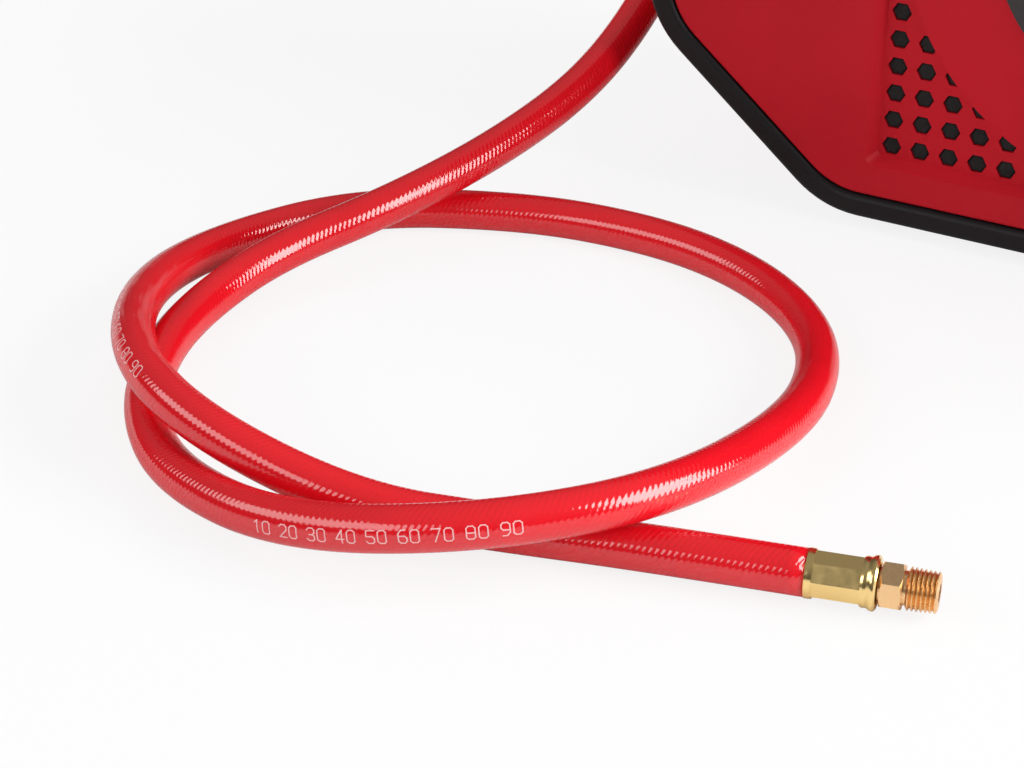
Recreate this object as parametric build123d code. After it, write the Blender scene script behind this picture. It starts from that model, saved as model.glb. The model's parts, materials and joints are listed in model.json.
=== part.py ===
"""Portable air compressor in a two-part casing, with a lead hose lying in a loose loop.

Millimetres. X runs along the front, Y from front to back, Z up. The origin is on the floor,
under the middle of the casing. Every piece is written to a STEP file of its own.
"""
import os
from math import ceil, cos, hypot, pi, radians, sqrt, tan

from build123d import *

# Casing outline
body_width = 410.0
body_height = 262.0
body_depth = 190.0
floor_gap = 5.0            # lower edge of the rims above the floor
chamfer_run = 80.0         # corner chamfer along X
chamfer_rise = 67.0        # corner chamfer along Z
corner_radius = 42.0

# Shells and rims
wall = 3.0
skin_inset = 3.0           # side skin behind the rims' outline
rim_width = 10.0
rim_depth = 16.0
rim_round = 3.0
rim_gap = 0.4              # shadow gap between a rim and the red face
face_setback = 1.5         # red face behind the front of its rim
face_round = 1.2
seam_chamfer = 0.8

# Grille
recess_frame = 23.0        # casing's edge to the recess, above and below
recess_depth = 5.0
recess_bevel = 3.2
recess_corner = 3.5        # at the face
recess_floor_corner = 2.0
recess_margin = 1.4        # land between the outer columns of holes and the bevel
hex_flats = 7.0
hex_columns = 9            # to each side of the middle
hex_rows = 9               # above and below the middle one
hex_pitch_ratio = 0.9517   # rows' pitch over that of the columns
medallion_columns = 8.636  # medallion's radius, in columns of holes
medallion_rise = 3.0
guard_radius = 62.0
guard_lip = 3.0
guard_thickness = 3.0
guard_ring = 4.0           # width of each ring of the guard
guard_slot = 6.5           # width of each slot between the rings
guard_spoke = 4.0
guard_spokes = 6
vent_slots = 24
vent_inner = 34.0
vent_inset = 12.0          # slots' outer ends inside the medallion
vent_width = 5.0
screen_thickness = 3.0     # foam sheets behind the holes

# Screws that join the shells
boss_side = 21.0           # outer bosses' inset from the casing's side
boss_rises = (-34.0, 40.0)  # outer bosses above the casing's middle
boss_corner = (93.0, 22.0)  # upper boss's inset from the side and the top
boss_radius = 6.0
screw_radius = 2.0
screw_head_radius = 3.8
screw_head_height = 2.6
screw_sink = 8.0
screw_cross = (5.0, 1.0, 2.0)
screw_grip = 25.0          # length of thread in the front boss

# Feet
foot_inset = 10.0          # feet inside the tanks' axes
foot_end = 37.0            # feet from the casing's front and back
foot_radius = 14.0
foot_round = 2.0
foot_plug_radius = 4.0
foot_plug_rise = 3.5       # plug above the shell's inner face

# Carry handle
bracket_inset = 29.0       # middle of an ear from the start of the corner chamfer
ear_thickness = 8.0
ear_radius = 11.0
bracket_base = (26.0, 32.0, 4.0)
bracket_round = 4.0
pivot_height = 16.0        # pivot above the top skin
pivot_radius = 4.0
pivot_length = 14.5
eye_gap = 0.5              # between a bracket's ear and the bail's eye
eye_radius = 10.0
bail_reach = 68.0
bail_radius = 6.5
bail_bend = 18.0
grip_radius = 12.0
grip_ends = 11.0           # straight tube left bare beside the grip
grip_round = 3.0

# Console on the right upper chamfer; shares are of its length along Y
panel_thickness = 3.0
panel_corner = 5.0
panel_margin = 5.0         # panel beyond its opening in the shells
panel_chamfer = 1.0
console_gap = 4.0          # panel's ends to the rims
console_width = 62.0
tank_gauge_share = -50 / 150
regulator_share = -10.5 / 150
outlet_gauge_share = 29 / 150
safety_share = 61 / 150
gauge_radius_share = 19 / 150
knob_radius_share = 16 / 150
manifold_depth = 40.0      # manifold's top below the skin
manifold_size = 22.0
manifold_gap = 5.0         # manifold's ends inside the panel's
post_inset = 10.0          # leg on the right tank, inside the manifold's middle
post_radius = 7.0
bonnet_radius = 14.0
bonnet_gap = 1.0           # bonnet's end below the panel
stem_radius = 6.0
knob_height = 18.0
knob_gap = 0.4             # between the knob and the panel
knob_cap = 5.5             # knob's end above the stem's hole
knob_stem_gap = 0.5
knob_round = 2.5
knob_flutes = 16
knob_flute_radius = 2.2
knob_flute_offset = 1.0
gauge_wall = 2.0
gauge_bezel = 2.0          # bezel's overhang on the panel
gauge_bezel_height = 5.0
gauge_bezel_round = 1.2
gauge_ledge = 0.8          # step that the lens rests on
gauge_depth = 12.0
gauge_stem_radius = 4.5
dial_depth = 4.0           # dial's seat below the skin
dial_thickness = 0.8
needle_length = 12.5
needle_width = 1.4
needle_start = 135.0       # needle's direction at zero, degrees from the panel's length
needle_thickness = 0.7
needle_gap = 0.4           # hub above the dial
needle_hub = (2.4, 1.6)    # radius and height
arbor_radius = 0.8
arbor_depth = 2.5          # arbor's end below the dial's seat
arbor_end_gap = 0.5
lens_thickness = 1.5
safety_flats = 13.0
safety_radius = 6.0
safety_stem_radius = 2.5
safety_neck = 2.0          # hexagon's end below the panel
safety_rise = 6.0          # valve's end above the panel
safety_bore_depth = 20.0
safety_stem_depth = 12.0
safety_stem_rise = 3.0     # stem above the valve's end
ring_radius = 8.0
ring_wire = 1.2

# Switch panel on the left upper chamfer
switch_length = 92.0
switch_width = 56.0
rocker_share = -20 / 92     # places along Y as shares of the panel's length
reset_share = 24 / 92
rocker_length = 24.0
rocker_width = 11.0
rocker_tilt = 10.0
rocker_rise = 7.5          # rocker's ends above its pins
rocker_dip = 4.8           # rocker's middle above its pins
rocker_depth = 4.0
rocker_taper = 1.5
rocker_pin_radius = 1.5
rocker_play = 0.4
rocker_end_play = 1.4
switch_box_depth = 16.0
switch_box_wall = 2.0
switch_box_rise = 1.0
reset_radius = 6.0
reset_travel = 3.0
reset_rise = 1.5           # left above the panel when pressed in
reset_round = 1.0
reset_flange = (8.0, 4.0)  # radius and height

# Power inlet on the rear face
inlet_inset = 53.0         # from the casing's side
inlet_rise = 4.0           # above the casing's middle
inlet_flange = (34.0, 28.0)
inlet_flange_round = 3.0
inlet_body = (27.0, 20.0)
inlet_cavity = (23.5, 16.0)
inlet_cavity_round = 2.0
inlet_depth = 20.0
inlet_floor = 4.0
blade_size = (2.0, 4.0, 13.0)
blade_pitch = 14.0
earth_offset = 4.0

# Tanks
tank_radius_share = 5 / 41  # of the casing's width
tank_x_share = 10 / 41
tank_wall = 2.5
tank_gap = 21.0            # tanks' ends inside the casing's front and back
tank_rise = 3.0            # tanks above the chassis plate
tank_round = 12.0
bung_radius = 10.0
bung_rise = 3.0
port_radius = 5.0
saddle_inset = 29.0        # from the tanks' ends
saddle_width = 32.0
saddle_thickness = 10.0
plate_thickness = 2.0
plate_margin = 7.0         # plate beyond the tanks' axes
plate_gap = 4.0            # plate's ends to the shells
link_inset = 22.0          # from the tanks' ends
link_radius = 6.0
drain_offset = (26.0, 18.0)  # outside and below the left tank's axis
drain_pocket_radius = 12.0
drain_pocket_depth = 14.0
drain_flats = 14.0
drain_boss_radius = 5.0
drain_stem_radius = 3.0
drain_plug = 8.0           # length of the valve's end in the tank
drain_boss_rise = 2.5      # boss above the pocket's floor
drain_stem_length = 7.5
drain_knob_radius = 7.5
drain_knob_height = 9.5
drain_knob_cap = 1.5
drain_knob_flutes = 8
drain_flute_radius = 2.4
drain_flute_offset = 1.2

# Motor, with its shaft along Y
motor_front_gap = 37.0     # from the casing's front
motor_back_gap = 85.0      # from the casing's back
motor_radius = 46.0
motor_wall = 4.0
mount_x = 30.0
mount_radius = 8.0
mount_height = 12.0
mount_waist = (9.5, 3.0)   # radius and wire of the groove round a mount
leg_thickness = 8.0
leg_width = 76.0
leg_foot = 18.0            # width of each foot of a leg
leg_arch = (13.0, 30.0, 6.0)  # start above the feet, height and corner
front_leg_inset = 18.0     # from the motor's front
back_leg_inset = 6.0       # from the motor's back
bearing_radius = 14.0
bearing_width = 8.0
bearing_wall = 3.5         # seat's wall round a bearing
bearing_lip = 2.0          # wall at the end of a bearing
shaft_radius = 6.0
shaft_play = 1.5           # shaft in the holes that it only passes
bell_vents = 8
bell_vent_radius = 6.0
bell_vent_at = 29.4
running_gap = 0.05
stator_bore = 27.5
stator_insets = (12.0, 10.0)  # core's ends inside the motor's front and back
winding_length = 6.0       # windings beyond each end of the core
winding_gap = 3.0          # between the windings and the housing
winding_step = 2.0         # windings' bore outside the core's
air_gap = 0.8
fan_gap = 15.0             # fan's front from the casing's front
fan_width = 14.0
fan_inset = 6.0            # blades' tips inside the guard's edge
fan_hub_radius = 15.0
fan_blades = 7
fan_blade_thickness = 2.5
fan_pitch = 35.0
fan_blade_chord = 17.5
fan_root = 3.0             # blade's root inside the hub
fan_shaft_end = 2.0        # shaft beyond the fan

# Pump
cylinder_inset = 18.0      # cylinder's axis from the crankcase's back
bore_radius = 22.0
liner_wall = 3.5
fin_radius = 30.0
fin_thickness = 2.0
fin_pitch = 6.0
fin_start = 4.8            # lowest fin above the deck
crank_throw = 8.0
rod_length = 66.0          # crank pin to piston crown
rod_thickness = 10.0
rod_eye_radius = 13.0
rod_eye_bore = 6.0
rod_shank = (12.0, 7.0)    # width and thickness
deck_drop = 4.0            # crankcase deck below the piston at the bottom of its stroke
crank_pin_radius = 5.0
crank_pin_gap = 0.3        # the crank drive is opened here
piston_thickness = 8.0
piston_gap = 0.4
seal_thickness = 2.0
seal_depth = 2.6
crown_gap = 2.0            # crown below the valve plate at the top of its stroke
crankcase_radius = 38.0
crankcase_wall = 4.0
crankcase_gap = 29.0       # from the casing's back
crankcase_plate = 6.0
neck_radius = 30.0
neck_play = 1.0            # neck's bore outside the cylinder's
head_size = 60.0
deck_thickness = 6.0
valve_plate_thickness = 3.0
valve_port_radius = 4.0
valve_port_x = 9.0
head_height = 25.0
head_fins = 6
head_fin_slot = 3.5
head_fin_depth = 8.0
head_chamber = (22.0, 46.0, 12.0)
head_web = 3.0             # wall between the two chambers
head_port_rise = 3.0       # ports above the middle of the chambers
bolt_spread = 48.0
bolt_radius = 2.5
bolt_flats = 8.0
bolt_head = 4.0
filter_radius = 15.0
filter_length = 28.0
filter_spigot = 4.0
filter_spigot_length = 5.0
filter_round = 2.0
filter_grooves = 4
filter_groove = (1.5, 2.0, 5.0)  # depth, width and pitch
crank_disc_radius = 20.0
crank_disc_width = 10.0
crank_disc_gap = 6.0       # between the rear bearing and the disc
counterweight_low = 4.0    # lower edge of the counterweight above the shaft's axis
counterweight_radius = 30.0
counterweight_width = 8.0

# Pipes inside the casing
pipe_radius = 4.0
pipe_bore = 2.8
pipe_bend = 18.0
check_inset = 8.0          # check valve inside the right tank's axis
check_flats = 17.0
check_height = 22.0
check_neck = (8.0, 3.0)    # radius and height
pressure_switch_size = (34.0, 34.0, 36.0)
pressure_switch_at = -3.0
pressure_switch_round = 3.0
pressure_switch_neck = (14.0, 4.0, 5.0)  # flats, height and length with its end in the box
outlet_pipe_start = -32.0  # place along the manifold
outlet_pipe_rise = 60.0    # above the motor's axis
outlet_pipe_out = 26.0     # first straight run, away from the manifold
outlet_pipe_turn = 28.0    # last corner beyond the elbow's thread
outlet_pipe_slope = 40.0   # upper corner beyond the last one
nut_flats = 20.0
nut_thickness = 6.0

# Hose, laid by hand along the loop that it makes on the floor
hose_diameter = 15.5
hose_bore = 9.5
hose_bend_share = 0.45     # share of the shorter run beside a corner that its arc may take
hose_gap_step = 3.0        # distance between the points that the gap is measured on
hose_gap_skip = 8          # nearest stretch that counts as another one, in diameters
hose_beside = (205.0, 95.0)  # half width and half depth that the route was laid beside
hose_route = [
    (-226, 32, 132), (-226, 7, 107), (-225, -22, 81), (-224, -58, 58), (-227, -103, 41),
    (-239, -152, 30), (-258, -204, 22), (-284, -247, 14), (-291, -286, 8), (-283, -324, 8),
    (-263, -362, 8), (-230, -391, 8), (-175, -409, 15), (-112, -397, 27), (-68, -349, 27),
    (-60, -270, 14), (-72, -216, 8), (-95, -184, 8), (-130, -162, 8), (-171, -153, 8),
    (-223, -158, 8), (-285, -187, 8), (-315, -243, 8), (-305, -304, 19), (-269, -359, 28),
    (-222, -385, 26), (-162, -385, 14), (-119.5, -366, 8), (-75, -355.5, 9), (-23.3, -343.7, 9),
]
elbow_arm = 17.4
elbow_radius = 7.0
elbow_flange = (11.0, 4.0)
elbow_thread_radius = 6.5
elbow_thread = 12.0
elbow_flats = 15.0
elbow_hex = 7.0
ferrule_length = 22.6
ferrule_flare = 8.0
ferrule_bead = 8.8
ferrule_flats = 14.6
ferrule_crimps = 8
ferrule_turn = 33.5        # of the crimped flats about the ferrule's axis
ferrule_lip = 1.2          # width of the flare
ferrule_crimp = (2.2, 17.3)  # crimped stretch along the ferrule
fitting_bore = 3.0
fitting_flats = 14.0
fitting_turn = 26.0        # of the hexagon about the fitting's axis
fitting_hex = 6.8
fitting_hex_chamfer = (1.2, 0.8)
fitting_neck = 5.4
fitting_gaps = (0.5, 1.2)  # neck before and after the hexagon
thread_radius = 6.85
thread_length = 9.9
thread_pitch = 1.41
thread_depth = 0.95
thread_crest = 0.16        # share of the pitch that a crest is wide
thread_taper = 1 / 32      # change of radius along the axis

# General fits
fit = 0.1                  # loose pieces that never move
clear = 0.3                # pieces that pass through a hole

# Places worked out from the sizes above
axis_z = floor_gap + body_height / 2
half_depth = body_depth / 2
face_y = -half_depth + face_setback
step_y = -half_depth + rim_depth
floor_y = face_y + recess_depth
skin_bottom = floor_gap + skin_inset
skin_top = floor_gap + body_height - skin_inset
half_width = body_width / 2
skin_side = half_width - skin_inset
recess_size = body_height - 2 * recess_frame
grille_half = recess_size / 2 - recess_bevel
hex_pitch_x = (grille_half - recess_margin - hex_flats / sqrt(3)) / (hex_columns - 0.5)
hex_pitch_z = hex_pitch_ratio * hex_pitch_x
medallion_radius = medallion_columns * hex_pitch_x
vent_outer = medallion_radius - vent_inset
boss_points = [(half_width - boss_side, axis_z + rise) for rise in boss_rises]
boss_points.append((half_width - boss_corner[0], floor_gap + body_height - boss_corner[1]))
plate_bottom = skin_bottom + wall
plate_top = plate_bottom + plate_thickness
tank_radius = tank_radius_share * body_width
tank_length = body_depth - 2 * tank_gap
tank_end = tank_length / 2
tank_x = tank_x_share * body_width
tank_z = plate_top + tank_rise + tank_radius
saddle_y = tank_end - saddle_inset
link_y = tank_end - link_inset
plate_size = (2 * (tank_x + plate_margin), body_depth - 2 * (rim_depth + wall + plate_gap))
foot_x = tank_x - foot_inset
foot_y = half_depth - foot_end
drain_x = -tank_x - drain_offset[0]
drain_z = tank_z - drain_offset[1]
inlet_x = half_width - inlet_inset
inlet_z = axis_z + inlet_rise
bracket_x = half_width - chamfer_run - bracket_inset
eye_x = bracket_x - ear_thickness / 2 - eye_gap - bail_radius
grip_length = 2 * (eye_x - bail_bend - grip_ends)
console_length = body_depth - 2 * (rim_depth + console_gap)
tank_gauge_at = tank_gauge_share * console_length
regulator_at = regulator_share * console_length
outlet_gauge_at = outlet_gauge_share * console_length
safety_at = safety_share * console_length
gauge_radius = gauge_radius_share * console_length
knob_radius = knob_radius_share * console_length
manifold_length = console_length - 2 * manifold_gap
rocker_at = rocker_share * switch_length
reset_at = reset_share * switch_length
motor_front = -half_depth + motor_front_gap
motor_back = half_depth - motor_back_gap
front_leg_y = motor_front + front_leg_inset
back_leg_y = motor_back - back_leg_inset
stator_front = motor_front + stator_insets[0]
stator_back = motor_back - stator_insets[1]
fan_front = -half_depth + fan_gap
fan_radius = guard_radius - fan_inset
crankcase_back = half_depth - crankcase_gap
cylinder_y = crankcase_back - cylinder_inset
check_x = tank_x - check_inset
outlet_pipe_height = axis_z + outlet_pipe_rise
chamfer_length = hypot(chamfer_run, chamfer_rise)
chamfer_normal = Vector(chamfer_rise / chamfer_length, 0, chamfer_run / chamfer_length)
chamfer_middle = Vector(half_width - chamfer_run / 2, 0, floor_gap + body_height - chamfer_rise / 2)
pin_low_z = axis_z - crank_throw
crown_z = pin_low_z + rod_length
deck_z = crown_z - piston_thickness - deck_drop
liner_top = crown_z + 2 * crank_throw + crown_gap
head_bottom = liner_top + valve_plate_thickness
head_top = head_bottom + head_height
port_z = head_bottom + head_chamber[2] / 2 + head_port_rise
hose_shift = (hose_beside[0] - half_width, half_depth - hose_beside[1])
hose_points = [(x + hose_shift[0], y + hose_shift[1], z) for x, y, z in hose_route]
sides = (-1, 1)

# Working planes
front_plane = Plane(origin=(0, 0, 0), x_dir=(1, 0, 0), z_dir=(0, -1, 0))
console = Plane(
    origin=chamfer_middle - chamfer_normal * skin_inset,
    x_dir=(0, 1, 0),
    z_dir=chamfer_normal,
)
manifold_middle = console.origin - chamfer_normal * (manifold_depth + manifold_size / 2)
post_x = manifold_middle.X - post_inset
switch_plane = Plane(
    origin=Vector(-console.origin.X, 0, console.origin.Z),
    x_dir=(0, 1, 0),
    z_dir=(-chamfer_normal.X, 0, chamfer_normal.Z),
)


def slab(sketch, low_y, high_y):
    """Solid with an outline drawn in X and Z, between two places along Y."""
    return extrude(front_plane.offset(-high_y) * sketch, amount=high_y - low_y)


def rod(radius, low, high):
    """Round bar along Z."""
    return extrude(Plane.XY.offset(low) * Circle(radius), amount=high - low)


def tube(outer, inner, low, high):
    """Round tube along Z."""
    return extrude(Plane.XY.offset(low) * (Circle(outer) - Circle(inner)), amount=high - low)


def block(length, width, low, high):
    """Square bar along Z."""
    return extrude(Plane.XY.offset(low) * Rectangle(length, width), amount=high - low)


def hex_bar(flats, low, high, turn=0):
    """Hexagon bar along Z."""
    hexagon = RegularPolygon(flats / 2, 6, major_radius=False, rotation=turn)
    return extrude(Plane.XY.offset(low) * hexagon, amount=high - low)


def turned(profile):
    """Solid of revolution about Z from points of radius and height."""
    return revolve(Plane.XZ * make_face(Polyline(*profile, close=True)), axis=Axis.Z)


def along_x(y, z):
    return Plane(origin=(0, y, z), x_dir=(0, 1, 0), z_dir=(1, 0, 0))


def along_y(x, z):
    return Plane(origin=(x, 0, z), x_dir=(1, 0, 0), z_dir=(0, 1, 0))


def pipe(points, radius, bore, bend):
    """Bent metal pipe with one bend radius."""
    path = FilletPolyline(*points, radius=bend)
    start = Plane(origin=points[0], z_dir=Vector(*points[1]) - Vector(*points[0]))
    return sweep(start * (Circle(radius) - Circle(bore)), path=path)


def outline(inset):
    """Casing outline, an octagon with rounded corners, moved inwards."""
    half_height = body_height / 2
    flat_x = half_width - chamfer_run
    flat_z = half_height - chamfer_rise
    corners = [
        (flat_x, -half_height), (half_width, -flat_z), (half_width, flat_z), (flat_x, half_height),
        (-flat_x, half_height), (-half_width, flat_z), (-half_width, -flat_z), (-flat_x, -half_height),
    ]
    octagon = Polygon(*corners, align=None)
    rounded = Pos(0, axis_z) * fillet(octagon.vertices(), corner_radius)
    return offset(rounded, amount=-inset) if inset else rounded


def recess_solid(size, start, end, bevel):
    """Square pan with sloping sides, from the face towards the middle of the casing."""
    large = Pos(0, axis_z) * RectangleRounded(size, size, recess_corner)
    inner = size - 2 * bevel
    small = Pos(0, axis_z) * RectangleRounded(inner, inner, recess_floor_corner)
    return loft([front_plane.offset(-start) * large, front_plane.offset(-end) * small])


def grille_holes():
    """Hexagons in straight rows and columns in the corners outside the medallion."""
    xs = [side * (k + 0.5) * hex_pitch_x for k in range(hex_columns) for side in sides]
    zs = [k * hex_pitch_z for k in range(-hex_rows, hex_rows + 1)]
    hexagon = RegularPolygon(hex_flats / 2, 6, major_radius=False)
    places = [(x, z) for x in xs for z in zs if hypot(x, z) > medallion_radius]
    holes = Sketch() + [Pos(x, axis_z + z) * hexagon for x, z in places]
    return holes - Pos(0, axis_z) * Circle(medallion_radius)


def panel_cut(plane, length, width):
    """Opening through the chamfer under a panel."""
    size = (length - 2 * panel_margin, width - 2 * panel_margin)
    return plane * block(*size, -3 * wall, 2 * wall)


def boss_axes():
    """Places of the bosses in X and Z, on both sides."""
    return [(side * x, z) for x, z in boss_points for side in sides]


def casing_half():
    """One half of the casing, drawn as the front one."""
    middle = Pos(0, axis_z)
    skin = slab(outline(skin_inset), step_y, 0)
    skin = chamfer(skin.edges().group_by(Axis.Y)[-1], seam_chamfer)
    nose = slab(outline(rim_width), face_y, step_y)
    nose = fillet(nose.edges().group_by(Axis.Y)[0], face_round)
    hollow = slab(outline(skin_inset + wall), step_y + wall, 0)
    hollow += slab(outline(rim_width + wall), face_y + wall, step_y + wall)
    half = skin + nose - hollow
    pan = recess_solid(recess_size + 2 * wall, face_y + wall / 2, floor_y + wall, recess_bevel)
    half += [pan] + [slab(Pos(x, z) * Circle(boss_radius), face_y + wall / 2, 0) for x, z in boss_axes()]
    recess = recess_solid(recess_size, face_y, floor_y, recess_bevel)
    cuts = [
        recess - slab(middle * Circle(medallion_radius), floor_y - medallion_rise, floor_y),
        slab(middle * Circle(medallion_radius - wall), floor_y, floor_y + wall),
        slab(grille_holes(), floor_y, floor_y + wall),
        panel_cut(console, console_length, console_width),
        panel_cut(switch_plane, switch_length, switch_width),
    ]
    plug_hole = rod(foot_plug_radius + fit, 0, plate_bottom)
    cuts += [Pos(side * foot_x, -foot_y) * plug_hole for side in sides]
    return half - cuts


def front_shell(half):
    cuts = [slab(Pos(x, z) * Circle(screw_radius + fit), -screw_grip - clear, 0) for x, z in boss_axes()]
    cuts.append(slab(Pos(0, axis_z) * Circle(guard_radius + fit), face_y, floor_y))
    return half - cuts


def rear_shell(half):
    back_y = -face_y
    outside = back_y + wall
    pocket = along_y(drain_x, drain_z)
    pocket_floor = back_y - drain_pocket_depth
    shell = mirror(half, about=Plane.XZ)
    shell += pocket * rod(drain_pocket_radius + wall, pocket_floor - wall, back_y - wall / 2)
    slot = Pos((vent_inner + vent_outer) / 2, 0) * SlotOverall(vent_outer - vent_inner, vent_width)
    slots = Sketch() + [Rot(0, 0, 360 * k / vent_slots) * slot for k in range(vent_slots)]
    inlet = Pos(inlet_x, inlet_z) * Rectangle(inlet_body[0] + fit, inlet_body[1] + fit)
    centre = elbow_centre()
    cuts = [
        slab(Pos(0, axis_z) * slots, -floor_y, -floor_y + medallion_rise),
        slab(inlet, -floor_y, outside),
        pocket * rod(drain_pocket_radius, pocket_floor, outside),
        pocket * rod(drain_boss_radius + clear, pocket_floor - 2 * wall, pocket_floor),
        along_x(centre.Y, centre.Z) * rod(elbow_thread_radius + clear, -skin_side, -skin_side + wall),
    ]
    for x, z in boss_axes():
        cuts.append(slab(Pos(x, z) * Circle(screw_radius + clear), 0, back_y))
        cuts.append(slab(Pos(x, z) * Circle(screw_head_radius + clear), back_y - screw_sink, outside))
    return shell - cuts


def bumper():
    """Front rim; the rear one is its mirror image."""
    ring = slab(outline(0) - outline(rim_width - rim_gap), -half_depth, step_y)
    ring = fillet(ring.edges().group_by(Axis.Y)[0], rim_round)
    return ring


def fan_guard():
    """Round guard of rings and spokes, held in the front medallion by its lip."""
    pitch = guard_ring + guard_slot
    rings = int((guard_radius - guard_ring) / pitch)
    disc = Sketch() + Circle(guard_radius)
    for k in range(rings):
        outer = guard_radius - guard_ring - k * pitch
        disc -= Circle(outer) - Circle(max(outer - guard_slot, guard_spoke))
    hub = guard_radius - rings * pitch
    spoke_length = guard_radius - guard_ring / 2 - hub / 2
    spoke = Pos(hub / 2 + spoke_length / 2, 0) * Rectangle(spoke_length, guard_spoke)
    disc += [Rot(0, 0, 360 * k / guard_spokes) * spoke for k in range(guard_spokes)]
    front = floor_y - medallion_rise
    guard = slab(Pos(0, axis_z) * disc, front - guard_thickness / 2, front + guard_thickness)
    lip = Circle(guard_radius + guard_lip) - Circle(guard_radius - guard_ring)
    return guard + slab(Pos(0, axis_z) * lip, front - guard_thickness / 2, front)


def grille_screens():
    """Foam sheets against the backs of both grilles."""
    size = recess_size - 2 * recess_bevel
    sheet = Pos(0, axis_z) * (Rectangle(size, size) - Circle(medallion_radius - wall / 2))
    low = floor_y + wall + fit
    front = slab(sheet, low, low + screen_thickness)
    return [front, mirror(front, about=Plane.XZ)]


def rubber_feet():
    """Four feet, pushed into the shells and the chassis plate."""
    foot = fillet(rod(foot_radius, 0, skin_bottom).edges().group_by(Axis.Z)[0], foot_round)
    foot += rod(foot_plug_radius, skin_bottom, plate_bottom + foot_plug_rise)
    return [Pos(x * foot_x, y * foot_y) * foot for x in sides for y in sides]


def shell_screws():
    seat = -face_y - screw_sink
    screws = []
    for x, z in boss_points:
        for side in sides:
            axis = along_y(side * x, z)
            screw = rod(screw_radius, -screw_grip, seat)
            screw += rod(screw_head_radius, seat, seat + screw_head_height)
            for turn in (0, 90):
                screw -= Pos(0, 0, seat + screw_head_height) * Rot(0, 0, turn) * Box(*screw_cross)
            screws.append(axis * screw)
    return screws


def handle_brackets():
    """Two cast brackets, each with the stud that its end of the bail turns on."""
    pivot_z = skin_top + pivot_height
    brackets = []
    for side in sides:
        base = Pos(side * bracket_x, 0, skin_top + bracket_base[2] / 2) * Box(*bracket_base)
        base = fillet(base.edges().filter_by(Axis.Z), bracket_round)
        ear_sketch = Pos(0, pivot_z) * Circle(ear_radius)
        ear_sketch += Pos(0, (pivot_z + skin_top) / 2) * Rectangle(2 * ear_radius, pivot_height)
        ear_plane = Plane.YZ.offset(side * bracket_x - ear_thickness / 2)
        ear = extrude(ear_plane * ear_sketch, amount=ear_thickness)
        inner = bracket_x - ear_thickness / 2
        stud = along_x(0, pivot_z) * rod(pivot_radius, inner - pivot_length, inner)
        brackets.append(base + ear + (stud if side > 0 else mirror(stud, about=Plane.YZ)))
    return brackets


def carry_handle():
    """Folding bail of bent tube, lying back on the casing."""
    pivot_z = skin_top + pivot_height
    corners = [
        (-eye_x, eye_radius / 2, pivot_z), (-eye_x, bail_reach, pivot_z),
        (eye_x, bail_reach, pivot_z), (eye_x, eye_radius / 2, pivot_z),
    ]
    path = FilletPolyline(*corners, radius=bail_bend)
    bail = sweep(Plane(origin=corners[0], z_dir=(0, 1, 0)) * Circle(bail_radius), path=path)
    for side in sides:
        low = side * eye_x - bail_radius
        high = side * eye_x + bail_radius
        bail += along_x(0, pivot_z) * rod(eye_radius, low, high)
        bail -= along_x(0, pivot_z) * rod(pivot_radius + running_gap, low, high)
    return bail


def handle_grip():
    centre = along_x(bail_reach, skin_top + pivot_height)
    grip = tube(grip_radius, bail_radius + fit, -grip_length / 2, grip_length / 2)
    ends = grip.edges().filter_by(GeomType.CIRCLE)
    outer_edges = ends.filter_by(lambda edge: edge.radius > bail_radius + 2 * fit)
    return centre * fillet(outer_edges, grip_round)


def console_panel():
    panel = Plane.XY * RectangleRounded(console_length, console_width, panel_corner)
    plate = extrude(panel, amount=panel_thickness)
    plate = chamfer(plate.edges().group_by(Axis.Z)[-1], panel_chamfer)
    holes = [
        (tank_gauge_at, gauge_radius), (outlet_gauge_at, gauge_radius),
        (regulator_at, stem_radius), (safety_at, safety_radius),
    ]
    for place, radius in holes:
        plate -= Pos(place, 0, 0) * rod(radius + clear, 0, panel_thickness)
    return console * plate


def manifold():
    """Block that feeds the regulator and gauges, standing on the right tank."""
    top = -manifold_depth
    bar = block(manifold_length, manifold_size, top - manifold_size, top)
    stem_top = panel_thickness + knob_height - knob_cap - knob_stem_gap
    bar += Pos(regulator_at, 0, 0) * rod(bonnet_radius, top, -bonnet_gap)
    bar += Pos(regulator_at, 0, 0) * rod(stem_radius, -bonnet_gap, stem_top)
    placed = console * bar
    post = Pos(post_x, -saddle_y) * rod(post_radius, tank_top(post_x, tank_x), manifold_middle.Z)
    return placed + post


def regulator_knob():
    """Fluted cap that turns on the regulator's stem."""
    low = panel_thickness + knob_gap
    high = panel_thickness + knob_height
    knob = rod(knob_radius, low, high)
    knob = fillet(knob.edges().group_by(Axis.Z)[-1], knob_round)
    flute = Pos(knob_radius + knob_flute_offset, 0, 0) * rod(knob_flute_radius, low, high)
    knob -= [Rot(0, 0, 360 * k / knob_flutes) * flute for k in range(knob_flutes)]
    knob -= rod(stem_radius + running_gap, low, high - knob_cap)
    return console * Pos(regulator_at, 0, 0) * knob


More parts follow.
